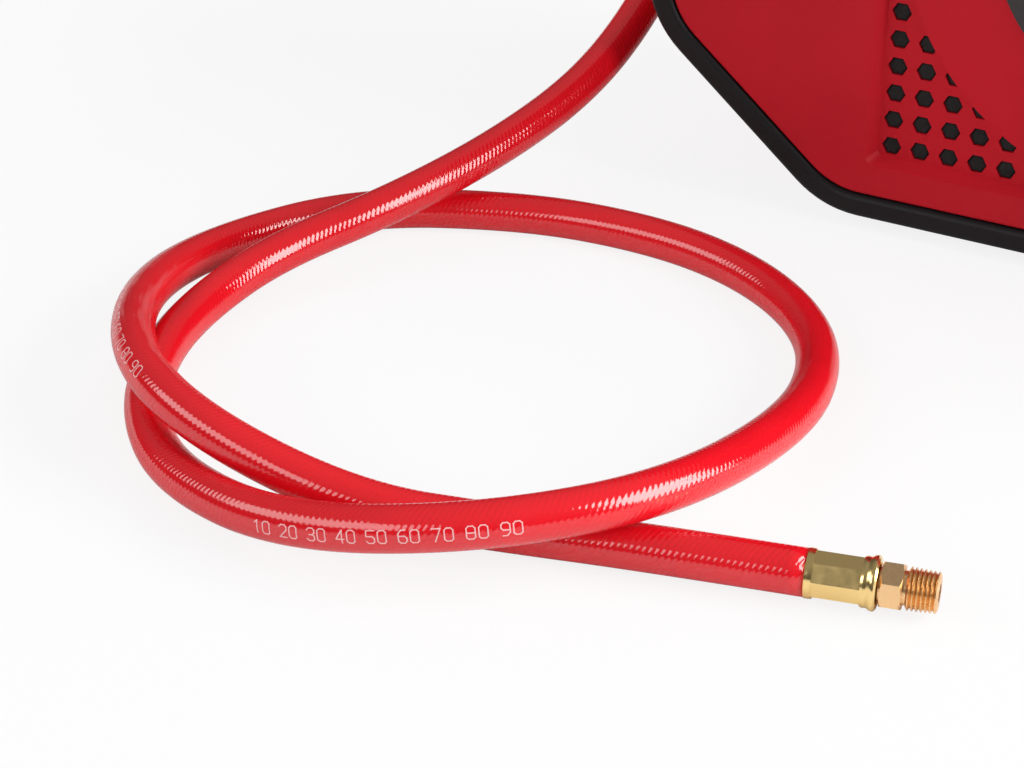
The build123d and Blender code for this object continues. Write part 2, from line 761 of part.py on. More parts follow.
def gauge(place):
    """Case, dial, needle and lens of one round gauge."""
    inner = gauge_radius - gauge_wall
    ledge = inner - gauge_ledge
    bezel_top = panel_thickness + gauge_bezel_height
    lens_low = bezel_top - lens_thickness - gauge_ledge
    dial_top = -dial_depth + dial_thickness
    case = rod(gauge_radius, -gauge_depth, bezel_top)
    case += rod(gauge_radius + gauge_bezel, panel_thickness, bezel_top)
    case = fillet(case.edges().group_by(Axis.Z)[-1], gauge_bezel_round)
    case += rod(gauge_stem_radius, -manifold_depth, -gauge_depth)
    case -= rod(ledge, -dial_depth, lens_low)
    case -= rod(inner, lens_low, bezel_top)
    arbor_end = -dial_depth - arbor_depth
    case -= rod(arbor_radius + running_gap, arbor_end - arbor_end_gap, -dial_depth)
    dial = tube(ledge - fit, arbor_radius + running_gap, -dial_depth, dial_top)
    hub_radius, hub_height = needle_hub
    hub_low = dial_top + needle_gap
    needle = rod(hub_radius, hub_low, hub_low + hub_height)
    needle += rod(arbor_radius, arbor_end, hub_low)
    tip = needle_width / 6
    tail = -needle_length / 3
    corners = [(tail, -needle_width), (needle_length, -tip), (needle_length, tip), (tail, needle_width)]
    pointer = Polygon(*corners, align=None)
    blade = extrude(Plane.XY.offset(hub_low + needle_gap) * pointer, amount=needle_thickness)
    needle += Rot(0, 0, needle_start) * blade
    lens = rod(inner - fit, lens_low, lens_low + lens_thickness)
    seat = console * Pos(place, 0, 0)
    return [seat * piece for piece in (case, dial, needle, lens)]


def safety_valve():
    top = panel_thickness + safety_rise
    body = hex_bar(safety_flats, -manifold_depth, -safety_neck)
    body += rod(safety_radius, -safety_neck, top)
    body -= rod(safety_stem_radius + running_gap, -safety_bore_depth, top)
    return console * Pos(safety_at, 0, 0) * body


def safety_ring():
    """Stem and pull ring of the safety valve; pulled out to vent."""
    top = panel_thickness + safety_rise + safety_stem_rise
    stem = rod(safety_stem_radius, -safety_stem_depth, top)
    ring = Pos(0, 0, top + ring_radius - ring_wire) * Rot(0, 90, 0) * Torus(ring_radius, ring_wire)
    return console * Pos(safety_at, 0, 0) * (stem + ring)


def switch_panel():
    """Panel with the rocker's box and the hole for the reset button."""
    outer = RectangleRounded(switch_length, switch_width, panel_corner)
    plate = extrude(Plane.XY * outer, amount=panel_thickness)
    plate = chamfer(plate.edges().group_by(Axis.Z)[-1], panel_chamfer)
    length = rocker_length + 2 * rocker_end_play
    width = rocker_width + 2 * rocker_play
    grow = 2 * switch_box_wall
    rim = panel_thickness + switch_box_rise
    seat = Pos(rocker_at, 0, 0)
    plate += seat * block(length + grow, width + grow, -switch_box_depth, rim)
    plate -= seat * block(length, width, -switch_box_depth + switch_box_wall, rim)
    plate -= seat * Rot(90, 0, 0) * Cylinder(rocker_pin_radius + running_gap, width + grow)
    plate -= Pos(reset_at, 0, 0) * rod(reset_radius + running_gap, 0, panel_thickness)
    return switch_plane * plate


def power_rocker():
    """Rocker on its pins, resting on the off side."""
    half = rocker_length / 2
    base = half - rocker_taper
    corners = [
        (-half, rocker_rise), (0, rocker_dip), (half, rocker_rise),
        (base, -rocker_depth), (-base, -rocker_depth),
    ]
    profile = Polygon(*corners, align=None)
    body = extrude(Plane.XZ * profile, amount=rocker_width / 2, both=True)
    pin_length = rocker_width + 2 * rocker_play + switch_box_wall
    body += Rot(90, 0, 0) * Cylinder(rocker_pin_radius, pin_length)
    return switch_plane * Pos(rocker_at, 0, 0) * Rot(0, -rocker_tilt, 0) * body


def reset_button():
    flange_radius, flange_height = reset_flange
    button = rod(reset_radius, -clear, panel_thickness + reset_travel + reset_rise)
    button = fillet(button.edges().group_by(Axis.Z)[-1], reset_round)
    button += rod(flange_radius, -clear - flange_height, -clear)
    return switch_plane * Pos(reset_at, 0, 0) * button


def power_inlet():
    """Mains socket in the rear face, with a hollow for the plug."""
    middle = Pos(inlet_x, inlet_z)
    floor = half_depth - inlet_depth
    body = slab(middle * RectangleRounded(*inlet_flange, inlet_flange_round), -face_y, half_depth)
    body += slab(middle * Rectangle(*inlet_body), floor - inlet_floor, -face_y)
    return body - slab(middle * RectangleRounded(*inlet_cavity, inlet_cavity_round), floor, half_depth)


def inlet_blades():
    floor = half_depth - inlet_depth
    width, height, length = blade_size
    blade = Rectangle(width, height)
    low = -earth_offset / 2
    places = [(-blade_pitch / 2, low), (blade_pitch / 2, low), (0, -low)]
    return [slab(Pos(inlet_x + x, inlet_z + z) * blade, floor, floor + length) for x, z in places]


def chassis_plate():
    """Steel plate over the floor of the casing, with the tank saddles welded to it."""
    plate = block(*plate_size, plate_bottom, plate_top)
    for x in sides:
        for y in sides:
            plate -= Pos(x * foot_x, y * foot_y) * rod(foot_plug_radius + fit, plate_bottom, plate_top)
            seat = Pos(x * tank_x, y * saddle_y)
            saddle = seat * block(saddle_width, saddle_thickness, plate_top, tank_z)
            saddle -= along_y(x * tank_x, tank_z) * rod(tank_radius + fit, -tank_end, tank_end)
            plate += saddle
    return plate


def tank_shell(x):
    """Hollow tank along Y with rounded ends."""
    axis = along_y(x, tank_z)
    outer = rod(tank_radius, -tank_end, tank_end)
    outer = fillet(outer.edges().filter_by(GeomType.CIRCLE), tank_round)
    inner = rod(tank_radius - tank_wall, -tank_end + tank_wall, tank_end - tank_wall)
    inner = fillet(inner.edges().filter_by(GeomType.CIRCLE), tank_round - tank_wall)
    return axis * outer, axis * inner


def tank_top(x, offset_x):
    """Height of a bung's face on top of a tank."""
    return tank_z + sqrt(tank_radius ** 2 - (x - offset_x) ** 2) + bung_rise


def left_tank():
    outer, inner = tank_shell(-tank_x)
    inner_side = -tank_x + tank_radius
    tank = outer + along_x(link_y, tank_z) * rod(bung_radius, -tank_x, inner_side + bung_rise)
    tank -= inner
    tank -= along_x(link_y, tank_z) * rod(port_radius, -tank_x, inner_side + bung_rise)
    return tank - along_y(drain_x, drain_z) * rod(port_radius + fit, 0, tank_end)


def right_tank():
    outer, inner = tank_shell(tank_x)
    inner_side = tank_x - tank_radius
    check_top = tank_top(check_x, tank_x)
    post_top = tank_top(post_x, tank_x)
    tank = outer + along_x(link_y, tank_z) * rod(bung_radius, inner_side - bung_rise, tank_x)
    tank += Pos(check_x, cylinder_y) * rod(bung_radius, tank_z, check_top)
    tank += Pos(post_x, -saddle_y) * rod(bung_radius, tank_z, post_top)
    tank -= inner
    tank -= along_x(link_y, tank_z) * rod(port_radius, inner_side - bung_rise, tank_x)
    tank -= Pos(check_x, cylinder_y) * rod(port_radius, tank_z, check_top)
    return tank - Pos(post_x, -saddle_y) * rod(port_radius, tank_z, post_top)


def link_pipe():
    end = tank_x - tank_radius - bung_rise
    return along_x(link_y, tank_z) * tube(link_radius, port_radius, -end, end)


def drain_valve():
    """Valve body on the left tank, reaching into the rear pocket."""
    pocket_floor = -face_y - drain_pocket_depth
    hex_end = pocket_floor - wall - clear
    stem_low = pocket_floor + drain_boss_rise
    body = rod(port_radius, tank_end - drain_plug, tank_end)
    body += hex_bar(drain_flats, tank_end, hex_end)
    body += rod(drain_boss_radius, hex_end, stem_low)
    body += rod(drain_stem_radius, stem_low, stem_low + drain_stem_length)
    return along_y(drain_x, drain_z) * body


def drain_knob():
    low = -face_y - drain_pocket_depth + drain_boss_rise + clear
    high = low + drain_knob_height
    knob = rod(drain_knob_radius, low, high)
    flute = Pos(drain_knob_radius + drain_flute_offset, 0, 0) * rod(drain_flute_radius, low, high)
    knob -= [Rot(0, 0, 360 * k / drain_knob_flutes) * flute for k in range(drain_knob_flutes)]
    knob -= rod(drain_stem_radius + running_gap, low, high - drain_knob_cap)
    return along_y(drain_x, drain_z) * knob


def motor_mounts():
    """Four rubber buffers under the motor's legs."""
    buffer = rod(mount_radius, plate_top, plate_top + mount_height)
    waist = Pos(0, 0, plate_top + mount_height / 2) * Torus(*mount_waist)
    return [Pos(x * mount_x, y) * (buffer - waist) for x in sides for y in (front_leg_y, back_leg_y)]


def motor_housing():
    """Cast tube with its front bell, bearing seat and legs."""
    seat_end = motor_front + bearing_lip + bearing_width
    housing = rod(motor_radius, motor_front, motor_back)
    housing -= rod(motor_radius - motor_wall, motor_front + motor_wall, motor_back)
    housing += rod(bearing_radius + bearing_wall, motor_front, seat_end)
    housing -= rod(bearing_radius + fit, motor_front + bearing_lip, seat_end)
    housing -= rod(shaft_radius + shaft_play, motor_front, motor_front + bearing_lip)
    vent = Pos(bell_vent_at, 0, 0) * rod(bell_vent_radius, motor_front, motor_front + motor_wall)
    housing -= [Rot(0, 0, 360 * k / bell_vents) * vent for k in range(bell_vents)]
    housing = along_y(0, axis_z) * housing
    foot_z = plate_top + mount_height
    arch_start, arch_height, arch_corner = leg_arch
    arch = RectangleRounded(leg_width - 2 * leg_foot, arch_height, arch_corner)
    sheet = Pos(0, (foot_z + axis_z) / 2) * Rectangle(leg_width, axis_z - foot_z)
    sheet -= Pos(0, axis_z) * Circle(motor_radius - motor_wall / 4)
    sheet -= Pos(0, foot_z + arch_start + arch_height / 2) * arch
    for y in (front_leg_y, back_leg_y):
        housing += slab(sheet, y - leg_thickness / 2, y + leg_thickness / 2)
    return housing


def stator():
    """Slotted core and the two rings of end windings, all one potted piece."""
    inside = motor_radius - motor_wall
    core = tube(inside - fit, stator_bore, stator_front, stator_back)
    core += tube(inside - winding_gap, stator_bore + winding_step,
                 stator_front - winding_length, stator_back + winding_length)
    return along_y(0, axis_z) * core


def rotor():
    return along_y(0, axis_z) * tube(stator_bore - air_gap, shaft_radius, stator_front, stator_back)


def motor_shaft():
    return along_y(0, axis_z) * rod(shaft_radius, fan_front - fan_shaft_end, crank_disc_back())


def bearings():
    """Front bearing in the motor's bell and rear one in the crankcase."""
    ring = tube(bearing_radius, shaft_radius + running_gap, 0, bearing_width)
    starts = (motor_front + bearing_lip, motor_back + bearing_lip)
    return [along_y(0, axis_z) * Pos(0, 0, y) * ring for y in starts]


def cooling_fan():
    """Axial fan behind the front guard."""
    hub = rod(fan_hub_radius, fan_front, fan_front + fan_width)
    length = fan_radius - fan_hub_radius + fan_root
    blade = Rot(fan_pitch, 0, 0) * Box(length, fan_blade_chord, fan_blade_thickness)
    blade = Pos(fan_radius - length / 2, 0, fan_front + fan_width / 2) * blade
    hub += [Rot(0, 0, 360 * k / fan_blades) * blade for k in range(fan_blades)]
    hub -= rod(shaft_radius, fan_front, fan_front + fan_width)
    return along_y(0, axis_z) * hub


def crank_disc_front():
    return motor_back + bearing_lip + bearing_width + crank_disc_gap


def crank_disc_back():
    return crank_disc_front() + crank_disc_width


def crankcase():
    """Cast case behind the motor, with the neck that carries the cylinder."""
    axis = along_y(0, axis_z)
    plate_back = motor_back + crankcase_plate
    seat_front = motor_back + bearing_lip
    chamber_front = seat_front + bearing_width + bearing_lip
    case = axis * rod(motor_radius, motor_back, plate_back)
    case += axis * rod(crankcase_radius, plate_back, crankcase_back)
    neck = Pos(0, cylinder_y)
    case += neck * rod(neck_radius, axis_z + crankcase_radius / 2, deck_z - deck_thickness)
    case += neck * block(head_size, head_size, deck_z - deck_thickness, deck_z)
    case -= axis * rod(crankcase_radius - crankcase_wall, chamber_front, crankcase_back - crankcase_wall)
    case -= axis * rod(bearing_radius + fit, seat_front, chamber_front)
    case -= axis * rod(shaft_radius + shaft_play, motor_back, seat_front)
    case -= neck * rod(bore_radius + neck_play, axis_z, deck_z)
    return case - bolt_holes(deck_z - deck_thickness, deck_z)


def bolt_holes(low, high):
    hole = rod(bolt_radius + fit, low, high)
    half = bolt_spread / 2
    return [Pos(x * half, cylinder_y + y * half) * hole for x in sides for y in sides]


def crank_disc():
    """Disc with counterweight and crank pin, the pin at the bottom of its turn."""
    front = crank_disc_front()
    back = crank_disc_back()
    axis = along_y(0, axis_z)
    disc = axis * rod(crank_disc_radius, front, back)
    weight = Pos(0, axis_z) * Circle(counterweight_radius)
    weight -= Pos(0, axis_z + counterweight_low - body_height) * Rectangle(body_width, 2 * body_height)
    disc += slab(weight, front, front + counterweight_width)
    disc += along_y(0, pin_low_z) * rod(crank_pin_radius, back, rod_front() - crank_pin_gap)
    return disc - axis * rod(shaft_radius, front, back)


def rod_front():
    return cylinder_y - rod_thickness / 2


def piston_rod():
    """Piston and connecting rod in one, at the bottom of the stroke."""
    low = crown_z - piston_thickness
    centre = Pos(0, cylinder_y)
    piece = along_y(0, pin_low_z) * rod(rod_eye_radius, rod_front(), rod_front() + rod_thickness)
    piece += centre * block(*rod_shank, pin_low_z + (rod_eye_bore + rod_eye_radius) / 2, low)
    piece += centre * rod(bore_radius - piston_gap, low, crown_z)
    groove = tube(bore_radius, bore_radius - seal_depth, seal_low() - running_gap,
                  seal_low() + seal_thickness + running_gap)
    piece -= centre * groove
    return piece - along_y(0, pin_low_z) * rod(rod_eye_bore, rod_front(), rod_front() + rod_thickness)


def seal_low():
    return crown_z - piston_thickness / 2 - seal_thickness / 2


def piston_seal():
    ring = tube(bore_radius - running_gap, bore_radius - seal_depth + running_gap,
                seal_low(), seal_low() + seal_thickness)
    return Pos(0, cylinder_y) * ring


def cylinder():
    """Finned liner on the crankcase deck."""
    liner = rod(bore_radius + liner_wall, deck_z, liner_top)
    fins = int((liner_top - deck_z - fin_pitch) / fin_pitch)
    for k in range(fins):
        low = deck_z + fin_start + k * fin_pitch
        liner += rod(fin_radius, low, low + fin_thickness)
    return Pos(0, cylinder_y) * (liner - rod(bore_radius, deck_z, liner_top))


def valve_plate():
    plate = block(head_size, head_size, liner_top, head_bottom)
    for side in sides:
        plate -= Pos(side * valve_port_x, 0) * rod(valve_port_radius, liner_top, head_bottom)
    return Pos(0, cylinder_y) * plate - bolt_holes(liner_top, head_bottom)


def cylinder_head():
    """Finned head with an intake and a delivery chamber."""
    head = block(head_size, head_size, head_bottom, head_top)
    length, width, height = head_chamber
    for side in sides:
        chamber = block(length, width, head_bottom, head_bottom + height)
        head -= Pos(side * (length + head_web) / 2, 0) * chamber
    pitch = head_size / head_fins
    for k in range(1, head_fins):
        slot = block(head_fin_slot, head_size, head_top - head_fin_depth, head_top)
        head -= Pos(-head_size / 2 + k * pitch, 0) * slot
    head = Pos(0, cylinder_y) * head
    head -= along_x(cylinder_y, port_z) * rod(filter_spigot + fit, -head_size / 2, -length)
    head -= along_x(cylinder_y, port_z) * rod(pipe_bore, length, head_size / 2)
    return head - bolt_holes(head_bottom, head_top)


def head_bolts():
    half = bolt_spread / 2
    bolt = rod(bolt_radius, deck_z - deck_thickness, head_top)
    bolt += hex_bar(bolt_flats, head_top, head_top + bolt_head)
    return [Pos(x * half, cylinder_y + y * half) * bolt for x in sides for y in sides]


def intake_filter():
    """Canister on the intake side of the head."""
    end = head_size / 2
    depth, width, pitch = filter_groove
    canister = rod(filter_radius, -end - filter_length, -end)
    canister = fillet(canister.edges().filter_by(GeomType.CIRCLE), filter_round)
    for k in range(filter_grooves):
        low = -end - filter_length + (k + 1) * pitch
        canister -= tube(filter_radius, filter_radius - depth, low, low + width)
    canister += rod(filter_spigot, -end, -end + filter_spigot_length)
    return along_x(cylinder_y, port_z) * canister


def check_valve():
    low = tank_top(check_x, tank_x)
    radius, height = check_neck
    top = low + check_height + height
    body = hex_bar(check_flats, low, low + check_height)
    body += rod(radius, low + check_height, top)
    return Pos(check_x, cylinder_y) * (body - rod(pipe_bore, low, top))


def delivery_pipe():
    end_z = tank_top(check_x, tank_x) + check_height + check_neck[1]
    points = [(head_size / 2, port_z), (check_x, port_z), (check_x, end_z)]
    return pipe([(x, cylinder_y, z) for x, z in points], pipe_radius, pipe_bore, pipe_bend)


def pressure_switch():
    """Switch box under the manifold."""
    top = -manifold_depth - manifold_size
    length, width, height = pressure_switch_size
    flats, neck, reach = pressure_switch_neck
    box = block(length, width, top - height, top - neck)
    box = fillet(box.edges(), pressure_switch_round) + hex_bar(flats, top - reach, top)
    return console * Pos(pressure_switch_at, 0, 0) * box


def elbow_centre():
    """Corner of the outlet elbow, in line with the first run of the hose."""
    start = Vector(*hose_points[0])
    back = (start - Vector(*hose_points[1])).normalized()
    return start + back * (ferrule_length + elbow_arm)


def outlet_pipe():
    """Pipe from the manifold across the casing to the elbow on the left wall."""
    depth = manifold_depth + manifold_size / 2
    start = (console * Pos(outlet_pipe_start, manifold_size / 2, -depth)).position
    out = (console * Pos(outlet_pipe_start, manifold_size / 2 + outlet_pipe_out, -depth)).position
    centre = elbow_centre()
    thread_end = -skin_side + elbow_thread
    turn_x = thread_end + outlet_pipe_turn
    points = [
        (start.X, start.Y, start.Z), (out.X, out.Y, out.Z),
        (turn_x + outlet_pipe_slope, outlet_pipe_start, outlet_pipe_height),
        (turn_x, (outlet_pipe_start + centre.Y) / 2, (outlet_pipe_height + centre.Z) / 2),
        (turn_x, centre.Y, centre.Z), (thread_end, centre.Y, centre.Z),
    ]
    run = pipe(points, pipe_radius, pipe_bore, pipe_bend / 2)
    nut_low = -skin_side + wall
    nut = hex_bar(nut_flats, nut_low, nut_low + nut_thickness)
    nut -= rod(elbow_thread_radius + fit, nut_low, nut_low + nut_thickness)
    return [run, along_x(centre.Y, centre.Z) * nut]


def hose_elbow():
    """Brass elbow through the left wall, pointing down and forward along the hose."""
    centre = elbow_centre()
    ahead = (Vector(*hose_points[1]) - Vector(*hose_points[0])).normalized()
    arm = Plane(origin=centre, z_dir=ahead)
    stub = along_x(centre.Y, centre.Z)
    flange_radius, flange_thickness = elbow_flange
    elbow = Pos(*centre) * Sphere(elbow_radius)
    elbow += stub * rod(elbow_radius, centre.X, -skin_side)
    elbow += stub * hex_bar(2 * flange_radius, -skin_side - flange_thickness, -skin_side)
    elbow += stub * rod(elbow_thread_radius, -skin_side, -skin_side + elbow_thread)
    elbow += arm * rod(elbow_radius, 0, elbow_arm)
    elbow += arm * hex_bar(elbow_flats, elbow_arm - elbow_hex, elbow_arm)
    elbow -= stub * rod(fitting_bore, centre.X, -skin_side + elbow_thread)
    return elbow - arm * rod(fitting_bore, 0, elbow_arm)


def ferrule(plane):
    """Crimped sleeve on a hose end; the hose meets it at the plane."""
    body = ferrule_flats / 2 / cos(pi / ferrule_crimps)
    low, high = ferrule_crimp
    bead = ferrule_length - high
    profile = [
        (fitting_bore, 0), (ferrule_flare, 0), (ferrule_flare, ferrule_lip), (body, low), (body, high),
        (body + 0.25, high + 0.15 * bead), (body + 0.1, high + 0.35 * bead), (ferrule_bead - 0.2, high + 0.56 * bead),
        (ferrule_bead, high + 0.66 * bead), (ferrule_bead, high + 0.8 * bead), (ferrule_bead - 0.7, high + 0.92 * bead),
        (ferrule_bead - 2.4, ferrule_length), (fitting_bore, ferrule_length),
    ]
    flats = RegularPolygon(ferrule_flats / 2, ferrule_crimps, major_radius=False, rotation=ferrule_turn)
    zone = Plane.XY.offset(low) * (Circle(2 * ferrule_bead) - flats)
    return plane * (turned(profile) - extrude(zone, amount=high - low))


def hose_fitting(plane):
    """Hexagon and male taper thread beyond the end ferrule."""
    hex_low = ferrule_length + fitting_gaps[0]
    hex_high = hex_low + fitting_hex
    thread_low = hex_high + fitting_gaps[1]
    crown, drop = fitting_hex_chamfer
    inner = fitting_flats / 2
    cone = turned([
        (0, hex_low), (inner, hex_low), (inner + crown, hex_low + drop),
        (inner + crown, hex_high - drop), (inner, hex_high), (0, hex_high),
    ])
    piece = rod(fitting_neck, ferrule_length, thread_low)
    piece += hex_bar(fitting_flats, hex_low, hex_high, fitting_turn) & cone
    ridges = int(thread_length / thread_pitch)
    profile = [(0, thread_low)]
    for k in range(ridges):
        low = thread_low + k * thread_pitch
        crest = thread_radius - (k + 0.5) * thread_pitch * thread_taper
        flank = (1 - thread_crest) / 2 * thread_pitch
        profile += [(crest - thread_depth, low), (crest, low + flank), (crest, low + thread_pitch - flank)]
    end = thread_low + ridges * thread_pitch
    profile += [(thread_radius - thread_depth - thread_length * thread_taper, end), (0, end)]
    piece += turned(profile)
    return plane * (piece - rod(fitting_bore, ferrule_length, end))


def hose_radii():
    """Largest arc that the runs beside each point of the route allow."""
    points = [Vector(*point) for point in hose_points]
    radii = []
    for before, here, after in zip(points, points[1:], points[2:]):
        first = here - before
        second = after - here
        shorter = min(first.length, second.length)
        half_turn = radians(first.get_angle(second)) / 2
        radii.append(hose_bend_share * shorter / tan(half_turn))
    return radii


def air_hose():
    """Hose along the route, with its bore; prints what the route measures."""
    radii = hose_radii()
    path = FilletPolyline(*hose_points, radius=radii)
    start = Plane(origin=hose_points[0], z_dir=Vector(*hose_points[1]) - Vector(*hose_points[0]))
    section = Circle(hose_diameter / 2) - Circle(hose_bore / 2)
    hose = sweep(start * section, path=path)
    print("hose radii", [round(radius) for radius in radii])
    print("hose length", round(path.length, 1), "least gap to itself", round(hose_gap(path), 2))
    print("hose volume over section times length", round(hose.volume / (section.area * path.length), 4))
    return hose


def hose_gap(path):
    """Least distance between two stretches of the hose, measured on points of its line."""
    count = ceil(path.length / hose_gap_step)
    points = [path.position_at(k / count) for k in range(count + 1)]
    skip = ceil(hose_gap_skip * hose_diameter / hose_gap_step)
    least = min(
        (points[i] - points[j]).length
        for i in range(len(points)) for j in range(i + skip, len(points))
    )
    return least - hose_diameter


def build_parts():
    """All pieces by name; a list is a group of separate solids."""
    half = casing_half()
    front_bumper = bumper()
    hose_start = Vector(*hose_points[0])
    hose_end = Vector(*hose_points[-1])
    start_plane = Plane(origin=hose_start, z_dir=hose_start - Vector(*hose_points[1]))
    end_way = hose_end - Vector(*hose_points[-2])
    end_plane = Plane(origin=hose_end, x_dir=end_way.cross(Vector(0, 0, 1)), z_dir=end_way)
    pieces = {
        "front_shell": front_shell(half),
        "rear_shell": rear_shell(half),
        "front_bumper": front_bumper,
        "rear_bumper": mirror(front_bumper, about=Plane.XZ),
        "fan_guard": fan_guard(),
        "grille_screens": grille_screens(),
        "rubber_feet": rubber_feet(),
        "shell_screws": shell_screws(),
        "handle_brackets": handle_brackets(),
        "carry_handle": carry_handle(),
        "handle_grip": handle_grip(),
        "console_panel": console_panel(),
        "manifold": manifold(),
        "regulator_knob": regulator_knob(),
        "safety_valve": safety_valve(),
        "safety_ring": safety_ring(),
        "switch_panel": switch_panel(),
        "power_rocker": power_rocker(),
        "reset_button": reset_button(),
        "power_inlet": power_inlet(),
        "inlet_blades": inlet_blades(),
        "chassis_plate": chassis_plate(),
        "left_tank": left_tank(),
        "right_tank": right_tank(),
        "link_pipe": link_pipe(),
        "drain_valve": drain_valve(),
        "drain_knob": drain_knob(),
        "motor_mounts": motor_mounts(),
        "motor_housing": motor_housing(),
        "stator": stator(),
        "rotor": rotor(),
        "motor_shaft": motor_shaft(),
        "bearings": bearings(),
        "cooling_fan": cooling_fan(),
        "crankcase": crankcase(),
        "crank_disc": crank_disc(),
        "piston_rod": piston_rod(),
        "piston_seal": piston_seal(),
        "cylinder": cylinder(),
        "valve_plate": valve_plate(),
        "cylinder_head": cylinder_head(),
        "head_bolts": head_bolts(),
        "intake_filter": intake_filter(),
        "check_valve": check_valve(),
        "delivery_pipe": delivery_pipe(),
        "pressure_switch": pressure_switch(),
        "outlet_pipe": outlet_pipe(),
        "hose_elbow": hose_elbow(),
        "outlet_ferrule": ferrule(start_plane),
        "air_hose": air_hose(),
        "hose_ferrule": ferrule(end_plane),
        "hose_fitting": hose_fitting(end_plane),
    }
    for name, place in (("tank_gauge", tank_gauge_at), ("outlet_gauge", outlet_gauge_at)):
        for piece, shape in zip(("case", "dial", "needle", "lens"), gauge(place)):
            pieces[f"{name}_{piece}"] = shape
    return pieces


def write_parts():
    os.makedirs("parts", exist_ok=True)
    for name, shape in build_parts().items():
        solids = shape if isinstance(shape, list) else [shape]
        flat = [solid for piece in solids for solid in piece.solids()]
        whole = flat[0] if len(flat) == 1 else Compound(children=flat)
        export_step(whole, os.path.join("parts", name + ".step"))


write_parts()
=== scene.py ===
"""Looks of a portable air compressor and its red lead hose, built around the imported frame.

Metres, in the frame of the solids: X along the front, Y from front to back, Z up.
"""
import bisect
import json
import math

import bmesh
import bpy
from mathutils import Matrix, Vector
from mathutils import noise as turbulence

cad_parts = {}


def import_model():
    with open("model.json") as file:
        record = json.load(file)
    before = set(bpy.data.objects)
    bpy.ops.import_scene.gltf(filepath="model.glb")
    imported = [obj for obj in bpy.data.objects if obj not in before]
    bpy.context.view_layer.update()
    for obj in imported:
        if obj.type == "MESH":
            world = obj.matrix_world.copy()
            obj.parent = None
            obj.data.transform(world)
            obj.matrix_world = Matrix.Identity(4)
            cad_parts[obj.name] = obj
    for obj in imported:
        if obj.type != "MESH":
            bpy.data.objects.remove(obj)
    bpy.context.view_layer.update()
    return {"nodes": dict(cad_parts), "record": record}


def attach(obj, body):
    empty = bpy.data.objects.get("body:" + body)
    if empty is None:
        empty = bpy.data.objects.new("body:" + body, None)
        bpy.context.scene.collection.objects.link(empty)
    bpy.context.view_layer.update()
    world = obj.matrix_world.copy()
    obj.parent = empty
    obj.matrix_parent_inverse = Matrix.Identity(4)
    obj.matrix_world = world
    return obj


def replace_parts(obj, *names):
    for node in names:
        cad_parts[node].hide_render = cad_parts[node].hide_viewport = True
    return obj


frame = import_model()
nodes = frame["nodes"]
slot_of = {part["node"]: part["material_slot"] for part in frame["record"]["subparts"]}

# Camera of the photograph
CAMERA_PLACE = Vector((0.2221, -0.9750, 0.4557))
CAMERA_AHEAD = Vector((-0.4847, 0.8747, 0.0))
CAMERA_DOWN = math.radians(29.5)
CAMERA_SENSOR = 0.036
IMAGE_WIDTH = 1024
FOCAL_PIXELS = 2600

# Hose route, the same points as the solid's, in millimetres for reading
HOSE_ROUTE = [
    (-226, 32, 132), (-226, 7, 107), (-225, -22, 81), (-224, -58, 58), (-227, -103, 41),
    (-239, -152, 30), (-258, -204, 22), (-284, -247, 14), (-291, -286, 8), (-283, -324, 8),
    (-263, -362, 8), (-230, -391, 8), (-175, -409, 15), (-112, -397, 27), (-68, -349, 27),
    (-60, -270, 14), (-72, -216, 8), (-95, -184, 8), (-130, -162, 8), (-171, -153, 8),
    (-223, -158, 8), (-285, -187, 8), (-315, -243, 8), (-305, -304, 19), (-269, -359, 28),
    (-222, -385, 26), (-162, -385, 14), (-119.5, -366, 8), (-75, -355.5, 9), (-23.3, -343.7, 9),
]
MM = 0.001
HOSE_DIAMETER = 0.0155
HOSE_SIDES = 40
RIB_PITCH = 0.00205        # fine ribs that the reinforcement leaves on the hose
RIB_STARTS = 13            # ribs lean by this many pitches in one turn
RIB_CROSSING = 0.25        # height of the ribs that lean the other way, as a share
RIB_HEIGHT = 0.00004
RIB_PATCH = 0.012          # ribs are uneven over patches of this size
HOSE_REDS = ((0.66, 0.005, 0.012), (0.74, 0.008, 0.016))
HOSE_ROUGH = (0.08, 0.13)
HOSE_IOR = 1.68

# Plain numbers printed along the hose, over and over
PRINT_START = 0.2225       # first row, along the hose
PRINT_PERIOD = 0.3155
PRINT_NUMBERS = ("10", "20", "30", "40", "50", "60", "70", "80", "90")
PRINT_PITCH = 0.0098
PRINT_SIZE = 0.0042
PRINT_STROKE = 0.085       # width of a line, as a share of the size
PRINT_TURN = math.radians(380.2)   # side of the hose that carries the print, at its start
PRINT_TWIST = math.radians(-40.0)  # its slow turn about the hose, per metre

# Places taken from the solids
CHAMFER = Vector((67.0, 0.0, 80.0)).normalized()
CONSOLE = Vector((0.165, 0.0, 0.2335)) - 0.003 * CHAMFER
PANEL_TOP = 0.003          # panels' faces above the skin
DIAL_TOP = -0.0032         # dials' faces above the skin
GAUGES = {"tank": -0.050, "outlet": 0.029}
DIAL_START = 135.0         # needle's direction at zero, in degrees
DIAL_SWEEP = 270.0
DIAL_NUMBERS = ("0", "2", "4", "6", "8", "10", "12")
DIAL_PARTS = 5             # small steps between two numbers
DIAL_RADIUS = 0.0150       # outer ends of the ticks
DIAL_TICKS = ((0.0134, 0.0004), (0.0122, 0.0008))  # inner ends and widths of small and large ticks
DIAL_DIGITS = (0.0029, 0.0097)  # numbers' size and distance from the middle
REGULATOR_AT = -0.0105
KNOB_TOP = 0.021
KNOB_INDEX = (0.004, 0.0125, 0.0014)  # ends and width of the line on the knob
SIGN_AT = 0.0225           # plus and minus beside the knob
SIGN_HALF = 0.002
SIGN_STROKE = 0.0008
ROCKER_AT = -0.020
ROCKER_TILT = math.radians(10.0)
